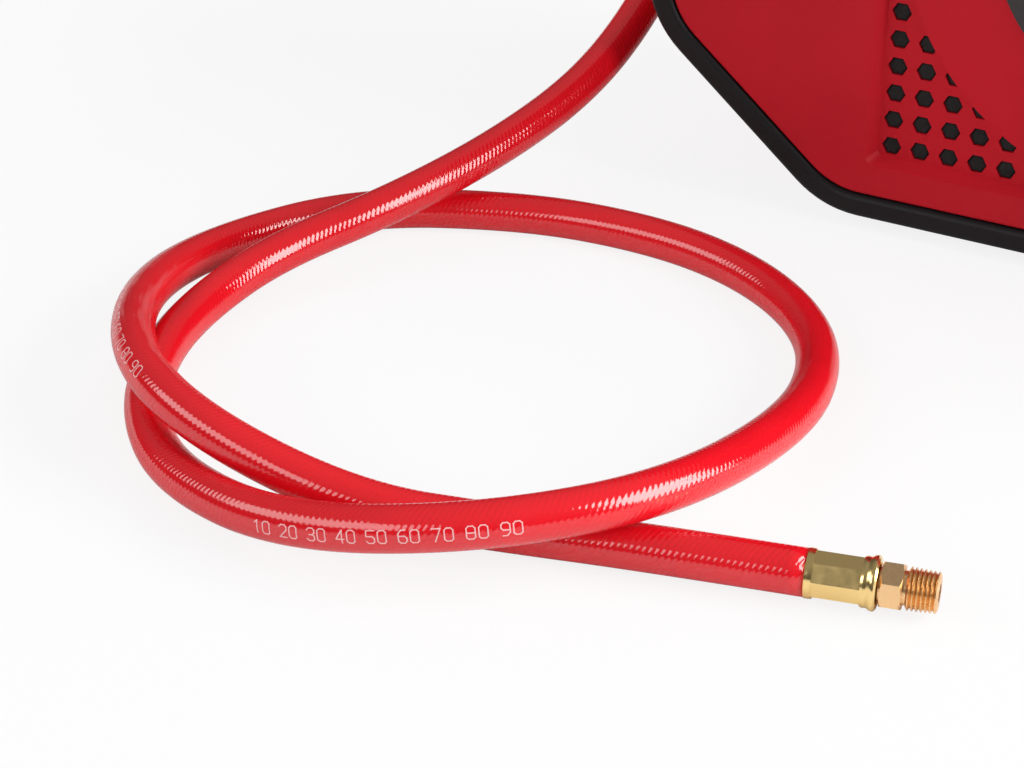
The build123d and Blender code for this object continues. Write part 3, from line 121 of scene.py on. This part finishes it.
ROCKER_FACE = (0.012, 0.0048, 0.0075)  # half length, height in the middle and at the ends
ROCKER_RING_STROKE = 0.0007
ROCKER_RING_SIDES = 24
GRIP_CENTRE = Vector((0.0, 0.068, 0.280))
GRIP_LENGTH = 0.112
GRIP_RADIUS = 0.012
GRIP_BORE = 0.0066
GRIP_PITCH = 0.004
GRIP_GROOVE = 0.0009
GRIP_ENDS = 0.003          # rounding of the sleeve's ends
GRIP_STEPS = 360           # along the sleeve
GRIP_SIDES = 48
GRIP_END_STEPS = 8
SCREEN_HALF = 0.1048
SCREEN_HOLE = 0.0995
SCREEN_HEIGHT = 0.136      # middle of the grilles
SCREEN_FACES = (0.0854, 0.0824)  # faces' distance from the middle of the casing
SCREEN_CELLS = 82          # along each edge
SCREEN_WAVE = 0.0004
SCREEN_GRAIN = 400         # waves of the foam's face per metre
HOLE_FLATS = 0.0070        # hexagon holes of the grilles
HOLE_PITCHES = (0.011689, 0.011125)
HOLE_COUNT = 9             # columns to each side, and rows above and below the middle one
MEDALLION_RADIUS = 0.10095
PLUG_RINGS = ((0.96, 0.0853), (0.96, 0.0875), (0.72, 0.0881), (0.3, 0.0883))  # share of a hole and height
PLUG_SIDES = 24
PLUG_GAP = 0.0001          # between the foam and the medallion
MARK_HEIGHT = 0.00005
MARK_STEP = 0.0006         # longest piece of a strip on a curved surface
DIGIT_STROKE = 0.13        # width of a digit's line, as a share of its size
DIGIT_WIDTH = 0.6
DIGIT_PITCH = 0.85

# Stage and lights
FLOOR_HALF = 6.0
FLOOR_GREY = 0.85
FLOOR_WHITE = 0.85         # share of plain white in what the camera sees of the floor
SKY_SEEN = 0.93
SKY_LIGHT = 0.38
SKY_REFLECTED = (0.06, 0.36, 0.1, 0.9)  # strength low and high, between these heights
HOSE_MIDDLE = Vector((-0.15, -0.27, 0.02))
LIGHT_DISTANCE = 3.0
VIEW_END = 50.0


# Materials

def shader_nodes(name):
    """New material with a principled shader; gives the material, its tree and the shader."""
    material = bpy.data.materials.new(name)
    material.use_nodes = True
    tree = material.node_tree
    tree.nodes.clear()
    output = tree.nodes.new("ShaderNodeOutputMaterial")
    shader = tree.nodes.new("ShaderNodeBsdfPrincipled")
    tree.links.new(shader.outputs["BSDF"], output.inputs["Surface"])
    return material, tree, shader


def math_node(tree, operation, first, second=None):
    """Socket with the result of one sum; an input is a socket or a number."""
    node = tree.nodes.new("ShaderNodeMath")
    node.operation = operation
    for socket, value in zip(node.inputs, (first, second)):
        if isinstance(value, bpy.types.NodeSocket):
            tree.links.new(value, socket)
        elif value is not None:
            socket.default_value = value
    return node.outputs[0]


def place(tree):
    """Socket with the place on the piece, in metres."""
    return tree.nodes.new("ShaderNodeTexCoord").outputs["Object"]


def stretched(tree, vector, scale):
    """Place with another scale along each axis."""
    node = tree.nodes.new("ShaderNodeMapping")
    node.inputs["Scale"].default_value = scale
    tree.links.new(vector, node.inputs["Vector"])
    return node.outputs["Vector"]


def noise(tree, vector, size, detail=4.0):
    """Noise with grains of about that size, in metres."""
    node = tree.nodes.new("ShaderNodeTexNoise")
    node.inputs["Scale"].default_value = 1.0 / size
    node.inputs["Detail"].default_value = detail
    tree.links.new(vector, node.inputs["Vector"])
    return node.outputs["Fac"]


def spread(tree, value, low, high, start=0.3, end=0.7):
    """Value between start and end of a noise, spread from low to high."""
    node = tree.nodes.new("ShaderNodeMapRange")
    tree.links.new(value, node.inputs["Value"])
    node.inputs["From Min"].default_value = start
    node.inputs["From Max"].default_value = end
    node.inputs["To Min"].default_value = low
    node.inputs["To Max"].default_value = high
    return node.outputs["Result"]


def blend(tree, factor, first, second):
    """Colour between two colours."""
    node = tree.nodes.new("ShaderNodeMix")
    node.data_type = "RGBA"
    tree.links.new(factor, node.inputs["Factor"])
    node.inputs["A"].default_value = (*first, 1.0)
    node.inputs["B"].default_value = (*second, 1.0)
    return node.outputs["Result"]


def relief(tree, shader, height, depth, strength=1.0):
    """Bump of that depth, in metres, on a shader."""
    node = tree.nodes.new("ShaderNodeBump")
    node.inputs["Strength"].default_value = strength
    node.inputs["Distance"].default_value = depth
    tree.links.new(height, node.inputs["Height"])
    tree.links.new(node.outputs["Normal"], shader.inputs["Normal"])


def shades(color, change):
    """A colour made darker and lighter by a share."""
    dark = tuple(c * (1 - change) for c in color)
    light = tuple(min(1.0, c * (1 + change)) for c in color)
    return dark, light


def surface(name, color, rough, grain, depth, metallic=0.0, change=0.06, patch=0.05,
            stretch=(1, 1, 1), coat=0.0, gloss=0.5):
    """Finish with slow changes of colour, changes of roughness and a fine grain."""
    material, tree, shader = shader_nodes(name)
    where = stretched(tree, place(tree), stretch)
    slow = noise(tree, place(tree), patch, 3.0)
    fine = noise(tree, where, grain)
    tree.links.new(blend(tree, spread(tree, slow, 0, 1), *shades(color, change)), shader.inputs["Base Color"])
    tree.links.new(spread(tree, fine, rough[0], rough[1]), shader.inputs["Roughness"])
    shader.inputs["Metallic"].default_value = metallic
    shader.inputs["Specular IOR Level"].default_value = gloss
    if coat:
        shader.inputs["Coat Weight"].default_value = coat
        shader.inputs["Coat Roughness"].default_value = 0.08
    relief(tree, shader, fine, depth)
    return material


def hose_surface():
    """Glossy soft plastic with fine slanted ribs, set out along the hose by its map."""
    material, tree, shader = shader_nodes("hose_plastic")
    coordinates = tree.nodes.new("ShaderNodeUVMap")
    coordinates.uv_map = "along"
    split = tree.nodes.new("ShaderNodeSeparateXYZ")
    tree.links.new(coordinates.outputs["UV"], split.inputs["Vector"])
    turns = math_node(tree, "DIVIDE", split.outputs["Y"], RIB_PITCH)
    waves = []
    for starts in (RIB_STARTS, -RIB_STARTS):
        lean = math_node(tree, "MULTIPLY", split.outputs["X"], float(starts))
        phase = math_node(tree, "MULTIPLY", math_node(tree, "ADD", turns, lean), 2 * math.pi)
        waves.append(math_node(tree, "SINE", phase))
    weak = math_node(tree, "MULTIPLY", waves[1], RIB_CROSSING)
    ribs = math_node(tree, "ADD", waves[0], weak)
    uneven = spread(tree, noise(tree, place(tree), RIB_PATCH, 2.0), 0.35, 1.0)
    height = math_node(tree, "MULTIPLY", ribs, uneven)
    slow = noise(tree, place(tree), 0.06, 2.0)
    color = blend(tree, spread(tree, slow, 0, 1), *HOSE_REDS)
    tree.links.new(color, shader.inputs["Base Color"])
    tree.links.new(spread(tree, noise(tree, place(tree), 0.004), *HOSE_ROUGH), shader.inputs["Roughness"])
    shader.inputs["IOR"].default_value = HOSE_IOR
    relief(tree, shader, height, RIB_HEIGHT)
    return material


def glass_surface():
    """Clear lens that bends no light; its gloss is a coat."""
    material, tree, shader = shader_nodes("lens_clear")
    shader.inputs["Base Color"].default_value = (0.96, 0.98, 0.98, 1.0)
    shader.inputs["Transmission Weight"].default_value = 1.0
    shader.inputs["IOR"].default_value = 1.01
    shader.inputs["Coat Weight"].default_value = 0.6
    rough = spread(tree, noise(tree, place(tree), 0.01), 0.01, 0.04)
    tree.links.new(rough, shader.inputs["Roughness"])
    return material


BLACK = (0.022, 0.021, 0.022)
surfaces = {
    "shell_red": surface("shell_plastic", (0.49, 0.006, 0.016), (0.42, 0.58), 0.0006, 0.00004, gloss=0.2),
    "bumper": surface("rim_rubber", (0.008, 0.007, 0.008), (0.42, 0.56), 0.0005, 0.00003,
                      change=0.15, gloss=0.25),
    "guard": surface("guard_plastic", (0.025, 0.025, 0.026), (0.40, 0.55), 0.0006, 0.00003, change=0.12),
    "foam": surface("screen_foam", (0.008, 0.008, 0.008), (0.85, 0.95), 0.0012, 0.0004,
                    change=0.3, patch=0.004),
    "foot_rubber": surface("foot_rubber", (0.018, 0.018, 0.018), (0.6, 0.8), 0.0012, 0.00008, change=0.2),
    "steel": surface("plain_steel", (0.55, 0.55, 0.56), (0.22, 0.38), 0.0008, 0.00001, 1.0,
                     stretch=(1, 0.1, 1)),
    "black_paint": surface("black_paint", BLACK, (0.28, 0.42), 0.0009, 0.00003, change=0.15, coat=0.3),
    "grip": surface("grip_rubber", (0.024, 0.024, 0.025), (0.55, 0.75), 0.0009, 0.00006, change=0.2),
    "panel": surface("panel_plastic", (0.026, 0.026, 0.028), (0.42, 0.55), 0.0005, 0.00003, change=0.12),
    "knob": surface("knob_plastic", (0.024, 0.024, 0.025), (0.40, 0.55), 0.0007, 0.00004, change=0.12),
    "brass": surface("brass", (0.94, 0.69, 0.29), (0.14, 0.24), 0.0020, 0.000003, 1.0, change=0.05),
    "cast_brass": surface("cast_brass", (0.92, 0.60, 0.31), (0.24, 0.36), 0.0012, 0.000006, 1.0, change=0.06),
    "gauge_case": surface("gauge_black", (0.020, 0.020, 0.021), (0.18, 0.30), 0.0010, 0.00001, change=0.1),
    "gauge_dial": surface("dial_paint", (0.86, 0.86, 0.84), (0.45, 0.60), 0.0008, 0.00001, change=0.02),
    "print": surface("print_ink", (0.86, 0.50, 0.50), (0.35, 0.50), 0.0008, 0.00001, change=0.04),
    "gauge_needle": surface("needle_paint", (0.02, 0.02, 0.02), (0.35, 0.50), 0.0008, 0.00001, change=0.1),
    "lens": glass_surface(),
    "rocker": surface("rocker_plastic", (0.018, 0.018, 0.019), (0.15, 0.28), 0.0009, 0.00001, change=0.1),
    "reset": surface("reset_plastic", (0.50, 0.015, 0.015), (0.18, 0.30), 0.0009, 0.00001, change=0.06),
    "inlet": surface("inlet_plastic", (0.020, 0.020, 0.021), (0.35, 0.50), 0.0006, 0.00003, change=0.12),
    "tank_paint": surface("tank_paint", (0.03, 0.03, 0.033), (0.18, 0.30), 0.0025, 0.00006,
                          change=0.12, coat=0.4),
    "chassis": surface("chassis_paint", (0.04, 0.04, 0.042), (0.35, 0.5), 0.002, 0.00005, change=0.12),
    "aluminium": surface("cast_aluminium", (0.60, 0.61, 0.62), (0.35, 0.55), 0.0014, 0.00010, 1.0),
    "iron": surface("cast_iron", (0.16, 0.16, 0.165), (0.50, 0.70), 0.0016, 0.00012, 0.9, change=0.15),
    "core": surface("motor_core", (0.30, 0.24, 0.20), (0.40, 0.60), 0.0006, 0.00005, 0.8, stretch=(1, 20, 1)),
    "fan": surface("fan_plastic", (0.035, 0.035, 0.036), (0.35, 0.5), 0.0008, 0.00003, change=0.12),
    "seal": surface("seal_plastic", (0.25, 0.22, 0.18), (0.45, 0.6), 0.0008, 0.00003),
    "hose_red": hose_surface(),
}


def dress(piece, slot):
    """Gives a piece the finish of a slot."""
    piece.data.materials.clear()
    piece.data.materials.append(surfaces[slot])


for name, node in nodes.items():
    dress(node, slot_of[name])
for name in ("hose_fitting", "hose_elbow"):
    dress(nodes[name], "cast_brass")


# Hose

def route_points():
    """Points along the smooth line through the route, read from its spline."""
    curve = bpy.data.curves.new("hose_route", "CURVE")
    curve.dimensions = "3D"
    curve.resolution_u = 18
    spline = curve.splines.new("NURBS")
    spline.points.add(len(HOSE_ROUTE) - 1)
    for point, spot in zip(spline.points, HOSE_ROUTE):
        point.co = (*(MM * value for value in spot), 1.0)
    spline.order_u = 3
    spline.use_endpoint_u = True
    holder = bpy.data.objects.new("hose_route", curve)
    line = bpy.data.meshes.new_from_object(holder)
    points = [vertex.co.copy() for vertex in line.vertices]
    bpy.data.objects.remove(holder)
    bpy.data.curves.remove(curve)
    bpy.data.meshes.remove(line)
    return points


def frames_along(points):
    """Direction and one sideways direction at each point, turning as little as they can."""
    count = len(points)
    ahead = []
    for k in range(count):
        before, after = points[max(k - 1, 0)], points[min(k + 1, count - 1)]
        ahead.append((after - before).normalized())
    side = ahead[0].cross(Vector((0, 0, 1))).normalized()
    frames = []
    for k in range(count):
        if k:
            side = ahead[k - 1].rotation_difference(ahead[k]) @ side
        side = (side - ahead[k] * side.dot(ahead[k])).normalized()
        frames.append((ahead[k], side))
    return frames


def hose_tube(points):
    """Round tube along the points, with a map of turn and length."""
    frames = frames_along(points)
    mesh = bmesh.new()
    layer = mesh.loops.layers.uv.new("along")
    rings = []
    for point, (ahead, side) in zip(points, frames):
        up = ahead.cross(side)
        ring = []
        for k in range(HOSE_SIDES):
            angle = 2 * math.pi * k / HOSE_SIDES
            out = side * math.cos(angle) + up * math.sin(angle)
            ring.append(mesh.verts.new(point + out * HOSE_DIAMETER / 2))
        rings.append(ring)
    length = 0.0
    for k in range(len(points) - 1):
        step = (points[k + 1] - points[k]).length
        for j in range(HOSE_SIDES):
            after = (j + 1) % HOSE_SIDES
            face = mesh.faces.new((rings[k][j], rings[k][after], rings[k + 1][after], rings[k + 1][j]))
            face.smooth = True
            turn = (j / HOSE_SIDES, (j + 1) / HOSE_SIDES)
            spots = ((turn[0], length), (turn[1], length), (turn[1], length + step), (turn[0], length + step))
            for loop, spot in zip(face.loops, spots):
                loop[layer].uv = spot
        length += step
    mesh.faces.new(reversed(rings[0]))
    mesh.faces.new(rings[-1])
    bmesh.ops.recalc_face_normals(mesh, faces=mesh.faces)
    return new_piece("hose_tube", mesh, "hose_red", "casing")


def new_piece(name, mesh, slot, body):
    """Object from a mesh under construction, dressed and riding on a body."""
    data = bpy.data.meshes.new(name)
    mesh.to_mesh(data)
    mesh.free()
    piece = bpy.data.objects.new(name, data)
    bpy.context.scene.collection.objects.link(piece)
    dress(piece, slot)
    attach(piece, body)
    return piece


# Marks, laid on a surface as thin strips

def digit_strokes():
    """Lines of each digit in a box 0.6 wide and 1 high."""
    top, low = 0.85, 0.15
    lower = [(0.6, 0.4), (0.6, low), (0.45, 0), (0.15, 0), (0, low)]
    hook = [(0, top), (0.15, 1), (0.45, 1), (0.6, top)]
    loop = [(0.15, 0), (0.45, 0), (0.6, low), (0.6, top), (0.45, 1), (0.15, 1), (0, top), (0, low), (0.15, 0)]
    six = [(0.5, 1), (0.2, 1), (0, 0.75), (0, low), (0.15, 0), (0.45, 0)]
    six += [(0.6, low), (0.6, 0.4), (0.45, 0.55), (0, 0.55)]
    return {
        "0": [loop],
        "1": [[(0.12, 0.8), (0.34, 1), (0.34, 0)]],
        "2": [hook + [(0.6, 0.6), (0, 0), (0.6, 0)]],
        "3": [hook + [(0.6, 0.65), (0.45, 0.5), (0.2, 0.5)], [(0.45, 0.5)] + lower],
        "4": [[(0.45, 0), (0.45, 1), (0, 0.3), (0.6, 0.3)]],
        "5": [[(0.6, 1), (0, 1), (0, 0.55), (0.45, 0.55)] + lower],
        "6": [six],
        "7": [[(0, 1), (0.6, 1), (0.2, 0)]],
        "8": [loop, [(0, 0.5), (0.6, 0.5)]],
        "9": [[(0.6 - x, 1 - y) for x, y in six]],
    }


def strip(mesh, lay, points, width):
    """Thin strip along a line of points on a surface."""
    spots = [Vector(point) for point in points]
    for first, last in zip(spots, spots[1:]):
        run = last - first
        ahead = run.normalized() * width / 2
        across = Vector((-ahead.y, ahead.x))
        start, end = first - ahead, last + ahead
        count = math.ceil((end - start).length / MARK_STEP)
        for k in range(count):
            near = start.lerp(end, k / count)
            far = start.lerp(end, (k + 1) / count)
            corners = (near - across, far - across, far + across, near + across)
            low = [mesh.verts.new(lay(*corner, -MARK_HEIGHT)) for corner in corners]
            high = [mesh.verts.new(lay(*corner, MARK_HEIGHT)) for corner in corners]
            mesh.faces.new(high)
            for j in range(4):
                mesh.faces.new((low[j], low[(j + 1) % 4], high[(j + 1) % 4], high[j]))


def number(mesh, lay, text, size, middle, stroke=DIGIT_STROKE):
    """Digits of one number, with their middle at a place on a surface."""
    strokes = digit_strokes()
    pitch = DIGIT_PITCH * size
    left = middle[0] - (pitch * (len(text) - 1) + DIGIT_WIDTH * size) / 2
    low = middle[1] - size / 2
    for k, digit in enumerate(text):
        for points in strokes[digit]:
            spots = [(left + k * pitch + size * x, low + size * y) for x, y in points]
            strip(mesh, lay, spots, stroke * size)


def flat(origin, right, up):
    """Lay on a plane, with places to the right and up."""
    out = right.cross(up)
    return lambda x, y, height: origin + right * x + up * y + out * height


def hose_print(points):
    """Rows of plain numbers along the hose."""
    frames = frames_along(points)
    lengths = [0.0]
    for before, here in zip(points, points[1:]):
        lengths.append(lengths[-1] + (here - before).length)

    def lay(x, y, height):
        k = min(max(bisect.bisect(lengths, x) - 1, 0), len(points) - 2)
        share = (x - lengths[k]) / (lengths[k + 1] - lengths[k])
        side = frames[k][1].lerp(frames[k + 1][1], share).normalized()
        up = frames[k][0].lerp(frames[k + 1][0], share).normalized().cross(side)
        angle = PRINT_TURN + PRINT_TWIST * x - 2 * y / HOSE_DIAMETER
        out = side * math.cos(angle) + up * math.sin(angle)
        return points[k].lerp(points[k + 1], share) + out * (HOSE_DIAMETER / 2 + height)

    mesh = bmesh.new()
    start = PRINT_START
    while start < lengths[-1]:
        for k, text in enumerate(PRINT_NUMBERS):
            middle = start + PRINT_SIZE / 2 + k * PRINT_PITCH
            if middle + PRINT_SIZE < lengths[-1]:
                number(mesh, lay, text, PRINT_SIZE, (middle, 0.0), PRINT_STROKE)
        start += PRINT_PERIOD
    dress(new_piece("hose_print", mesh, "gauge_dial", "casing"), "print")


def dial_marks(name, at):
    """Ticks and numbers of one gauge, read from the front of the machine."""
    up = Vector((0, 1, 0))
    right = up.cross(CHAMFER)
    lay = flat(CONSOLE + up * at + CHAMFER * DIAL_TOP, right, up)
    mesh = bmesh.new()
    count = (len(DIAL_NUMBERS) - 1) * DIAL_PARTS
    for k in range(count + 1):
        angle = math.radians(DIAL_START - DIAL_SWEEP * k / count)
        way = Vector((-math.sin(angle), math.cos(angle)))
        large = k % DIAL_PARTS == 0
        inner, width = DIAL_TICKS[large]
        strip(mesh, lay, (way * inner, way * DIAL_RADIUS), width)
        if large:
            size, distance = DIAL_DIGITS
            number(mesh, lay, DIAL_NUMBERS[k // DIAL_PARTS], size, way * distance)
    new_piece(name + "_dial_marks", mesh, "gauge_needle", "casing")


def regulator_marks():
    """White index on the knob, and a minus and a plus beside it."""
    up = Vector((0, 1, 0))
    right = up.cross(CHAMFER)
    centre = CONSOLE + up * REGULATOR_AT
    mesh = bmesh.new()
    start, end, width = KNOB_INDEX
    strip(mesh, flat(centre + CHAMFER * KNOB_TOP, right, up), [(0, start), (0, end)], width)
    new_piece("knob_index", mesh, "gauge_dial", "regulator")
    mesh = bmesh.new()
    lay = flat(centre + CHAMFER * PANEL_TOP, right, up)
    for side in (-1, 1):
        middle = side * SIGN_AT
        strip(mesh, lay, [(middle - SIGN_HALF, 0), (middle + SIGN_HALF, 0)], SIGN_STROKE)
        if side > 0:
            strip(mesh, lay, [(middle, -SIGN_HALF), (middle, SIGN_HALF)], SIGN_STROKE)
    new_piece("panel_marks", mesh, "gauge_dial", "casing")


def rocker_marks():
    """Bar and ring on the two faces of the rocker."""
    chamfer = Vector((-CHAMFER.x, 0, CHAMFER.z))
    origin = Vector((-CONSOLE.x, ROCKER_AT, CONSOLE.z))
    along = Vector((0, 1, 0))
    half, low, high = ROCKER_FACE
    mesh = bmesh.new()
    for side in (-1, 1):
        place_x = side * half / 2
        spot = Vector((place_x, 0, (low + high) / 2))
        slope = Vector((half, 0, side * (high - low))).normalized()
        turn = Matrix.Rotation(-ROCKER_TILT, 3, "Y")
        spot, slope = turn @ spot, turn @ slope
        axes = Matrix((along, chamfer.cross(along), chamfer)).transposed()
        lay = flat(origin + axes @ spot, axes @ slope, axes @ Vector((0, 1, 0)))
        if side < 0:
            strip(mesh, lay, [(-SIGN_HALF, 0), (SIGN_HALF, 0)], SIGN_STROKE)
        else:
            angles = [2 * math.pi * k / ROCKER_RING_SIDES for k in range(ROCKER_RING_SIDES + 1)]
            ring = [(SIGN_HALF * math.cos(angle), SIGN_HALF * math.sin(angle)) for angle in angles]
            strip(mesh, lay, ring, ROCKER_RING_STROKE)
    new_piece("rocker_marks", mesh, "gauge_dial", "rocker")


# Soft pieces

def grip_sleeve():
    """Rubber sleeve on the handle, with rings all along it."""
    half = GRIP_LENGTH / 2
    ends = GRIP_ENDS
    profile = [(-half, GRIP_BORE)]
    for k in range(GRIP_END_STEPS + 1):
        angle = math.pi / 2 * k / GRIP_END_STEPS
        profile.append((-half + ends - ends * math.cos(angle), GRIP_RADIUS - ends + ends * math.sin(angle)))
    for k in range(GRIP_STEPS + 1):
        x = (half - 2 * ends) * (2 * k / GRIP_STEPS - 1)
        groove = max(0.0, math.cos(2 * math.pi * x / GRIP_PITCH)) ** 3
        profile.append((x, GRIP_RADIUS - GRIP_GROOVE * groove))
    for k in range(GRIP_END_STEPS + 1):
        angle = math.pi / 2 * k / GRIP_END_STEPS
        profile.append((half - ends + ends * math.sin(angle), GRIP_RADIUS - ends + ends * math.cos(angle)))
    profile.append((half, GRIP_BORE))
    mesh = bmesh.new()
    sides = GRIP_SIDES
    rings = []
    for x, radius in profile:
        ring = []
        for k in range(sides):
            angle = 2 * math.pi * k / sides
            spot = Vector((x, radius * math.cos(angle), radius * math.sin(angle)))
            ring.append(mesh.verts.new(GRIP_CENTRE + spot))
        rings.append(ring)
    rings.append(rings[0])
    for first, second in zip(rings, rings[1:]):
        for k in range(sides):
            face = mesh.faces.new((first[k], first[(k + 1) % sides], second[(k + 1) % sides], second[k]))
            face.smooth = True
    bmesh.ops.recalc_face_normals(mesh, faces=mesh.faces)
    return new_piece("grip_sleeve", mesh, "grip", "handle")


def hole_point(x, z, angle, share):
    """Point on a hexagon inside one hole, kept outside the medallion."""
    half = angle % (math.pi / 3) - math.pi / 6
    radius = share * HOLE_FLATS / 2 / math.cos(half)
    spot = Vector((x + radius * math.cos(angle), z + radius * math.sin(angle)))
    return spot * max(1.0, (MEDALLION_RADIUS + PLUG_GAP) / spot.length)


def foam_plugs(mesh, side):
    """Foam that swells into the holes of one grille."""
    sides = PLUG_SIDES
    columns = [way * (k + 0.5) * HOLE_PITCHES[0] for k in range(HOLE_COUNT) for way in (-1, 1)]
    rows = [k * HOLE_PITCHES[1] for k in range(-HOLE_COUNT, HOLE_COUNT + 1)]
    for x, z in ((x, z) for x in columns for z in rows if math.hypot(x, z) > MEDALLION_RADIUS):
        rings = []
        for share, height in PLUG_RINGS:
            spots = [hole_point(x, z, 2 * math.pi * k / sides, share) for k in range(sides)]
            rings.append([mesh.verts.new((spot.x, side * height, SCREEN_HEIGHT + spot.y)) for spot in spots])
        mesh.faces.new(rings[0])
        mesh.faces.new(rings[-1])
        for first, second in zip(rings, rings[1:]):
            for k in range(sides):
                mesh.faces.new((first[k], first[(k + 1) % sides], second[(k + 1) % sides], second[k]))


def foam_sheets():
    """Open foam behind both grilles, with an uneven face."""
    mesh = bmesh.new()
    cell = 2 * SCREEN_HALF / SCREEN_CELLS
    outer, inner = SCREEN_FACES
    for side in (-1, 1):
        corners = {}
        faces = []

        def corner(i, j):
            if (i, j) not in corners:
                x, z = i * cell - SCREEN_HALF, j * cell - SCREEN_HALF
                wave = SCREEN_WAVE * (turbulence.noise(Vector((x, side, z)) * SCREEN_GRAIN) - 1)
                corners[i, j] = mesh.verts.new((x, side * (outer + min(0.0, wave)), SCREEN_HEIGHT + z))
            return corners[i, j]

        for i in range(SCREEN_CELLS):
            for j in range(SCREEN_CELLS):
                x, z = (i + 0.5) * cell - SCREEN_HALF, (j + 0.5) * cell - SCREEN_HALF
                if math.hypot(x, z) > SCREEN_HOLE:
                    ring = (corner(i, j), corner(i + 1, j), corner(i + 1, j + 1), corner(i, j + 1))
                    faces.append(mesh.faces.new(ring))
        grown = bmesh.ops.extrude_face_region(mesh, geom=faces, use_keep_orig=True)["geom"]
        for vertex in grown:
            if isinstance(vertex, bmesh.types.BMVert):
                vertex.co.y = side * inner
        foam_plugs(mesh, side)
    bmesh.ops.recalc_face_normals(mesh, faces=mesh.faces)
    return new_piece("foam_sheets", mesh, "foam", "casing")


line = route_points()
hose = hose_tube(line)
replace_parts(hose, "air_hose")
hose_print(line)
for gauge, at in GAUGES.items():
    dial_marks(gauge, at)
regulator_marks()
rocker_marks()
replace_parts(grip_sleeve(), "handle_grip")
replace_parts(foam_sheets(), "grille_screens")


# Stage, lights and camera

def floor():
    """Pale floor that looks white and still takes the shadow."""
    mesh = bmesh.new()
    bmesh.ops.create_grid(mesh, x_segments=1, y_segments=1, size=FLOOR_HALF)
    data = bpy.data.meshes.new("floor")
    mesh.to_mesh(data)
    mesh.free()
    piece = bpy.data.objects.new("floor", data)
    bpy.context.scene.collection.objects.link(piece)
    material = bpy.data.materials.new("floor_white")
    material.use_nodes = True
    tree = material.node_tree
    tree.nodes.clear()
    output = tree.nodes.new("ShaderNodeOutputMaterial")
    matt = tree.nodes.new("ShaderNodeBsdfDiffuse")
    matt.inputs["Color"].default_value = (FLOOR_GREY, FLOOR_GREY, FLOOR_GREY, 1.0)
    white = tree.nodes.new("ShaderNodeEmission")
    mix = tree.nodes.new("ShaderNodeMixShader")
    rays = tree.nodes.new("ShaderNodeLightPath")
    seen = math_node(tree, "MAXIMUM", rays.outputs["Is Camera Ray"], rays.outputs["Is Transmission Ray"])
    tree.links.new(math_node(tree, "MULTIPLY", seen, FLOOR_WHITE), mix.inputs["Fac"])
    tree.links.new(matt.outputs["BSDF"], mix.inputs[1])
    tree.links.new(white.outputs["Emission"], mix.inputs[2])
    tree.links.new(mix.outputs["Shader"], output.inputs["Surface"])
    data.materials.append(material)


def world():
    """Even light from all round, white to the camera; reflections show a dim studio, brighter above."""
    sky = bpy.data.worlds.new("studio")
    bpy.context.scene.world = sky
    sky.use_nodes = True
    tree = sky.node_tree
    tree.nodes.clear()
    output = tree.nodes.new("ShaderNodeOutputWorld")
    seen = tree.nodes.new("ShaderNodeBackground")
    light = tree.nodes.new("ShaderNodeBackground")
    dim = tree.nodes.new("ShaderNodeBackground")
    for part, strength in ((seen, SKY_SEEN), (light, SKY_LIGHT)):
        part.inputs["Color"].default_value = (1.0, 1.0, 1.0, 1.0)
        part.inputs["Strength"].default_value = strength
    split = tree.nodes.new("ShaderNodeSeparateXYZ")
    tree.links.new(tree.nodes.new("ShaderNodeTexCoord").outputs["Generated"], split.inputs["Vector"])
    tree.links.new(spread(tree, split.outputs["Z"], *SKY_REFLECTED), dim.inputs["Strength"])
    lit = tree.nodes.new("ShaderNodeMixShader")
    mix = tree.nodes.new("ShaderNodeMixShader")
    rays = tree.nodes.new("ShaderNodeLightPath")
    tree.links.new(rays.outputs["Is Glossy Ray"], lit.inputs["Fac"])
    tree.links.new(light.outputs["Background"], lit.inputs[1])
    tree.links.new(dim.outputs["Background"], lit.inputs[2])
    camera = math_node(tree, "MAXIMUM", rays.outputs["Is Camera Ray"], rays.outputs["Is Transmission Ray"])
    tree.links.new(camera, mix.inputs["Fac"])
    tree.links.new(lit.outputs["Shader"], mix.inputs[1])
    tree.links.new(seen.outputs["Background"], mix.inputs[2])
    tree.links.new(mix.outputs["Shader"], output.inputs["Surface"])


def softbox(name, turn, rise, size, power):
    """Rectangular lamp aimed at the hose, from a direction in degrees about Z and above the floor."""
    turn, rise = math.radians(turn), math.radians(rise)
    way = Vector((math.cos(turn) * math.cos(rise), math.sin(turn) * math.cos(rise), math.sin(rise)))
    data = bpy.data.lights.new(name, "AREA")
    data.shape = "RECTANGLE"
    data.size, data.size_y = size
    data.energy = power
    lamp = bpy.data.objects.new(name, data)
    lamp.location = HOSE_MIDDLE + way * LIGHT_DISTANCE
    lamp.rotation_mode = "QUATERNION"
    lamp.rotation_quaternion = (-way).to_track_quat("-Z", "Y")
    bpy.context.scene.collection.objects.link(lamp)


def camera():
    """Camera of the photograph."""
    data = bpy.data.cameras.new("camera")
    data.sensor_width = CAMERA_SENSOR / MM
    data.lens = data.sensor_width * FOCAL_PIXELS / IMAGE_WIDTH
    data.clip_end = VIEW_END
    lens = bpy.data.objects.new("camera", data)
    lens.location = CAMERA_PLACE
    ahead = CAMERA_AHEAD.normalized() * math.cos(CAMERA_DOWN) - Vector((0, 0, math.sin(CAMERA_DOWN)))
    lens.rotation_mode = "QUATERNION"
    lens.rotation_quaternion = ahead.to_track_quat("-Z", "Y")
    bpy.context.scene.collection.objects.link(lens)
    bpy.context.scene.camera = lens


floor()
world()
softbox("right_light", 14.0, 25.0, (2.4, 1.95), 128.0)
softbox("left_light", -131.0, 31.0, (4.3, 1.1), 45.0)
camera()
bpy.context.scene.view_settings.view_transform = "Standard"
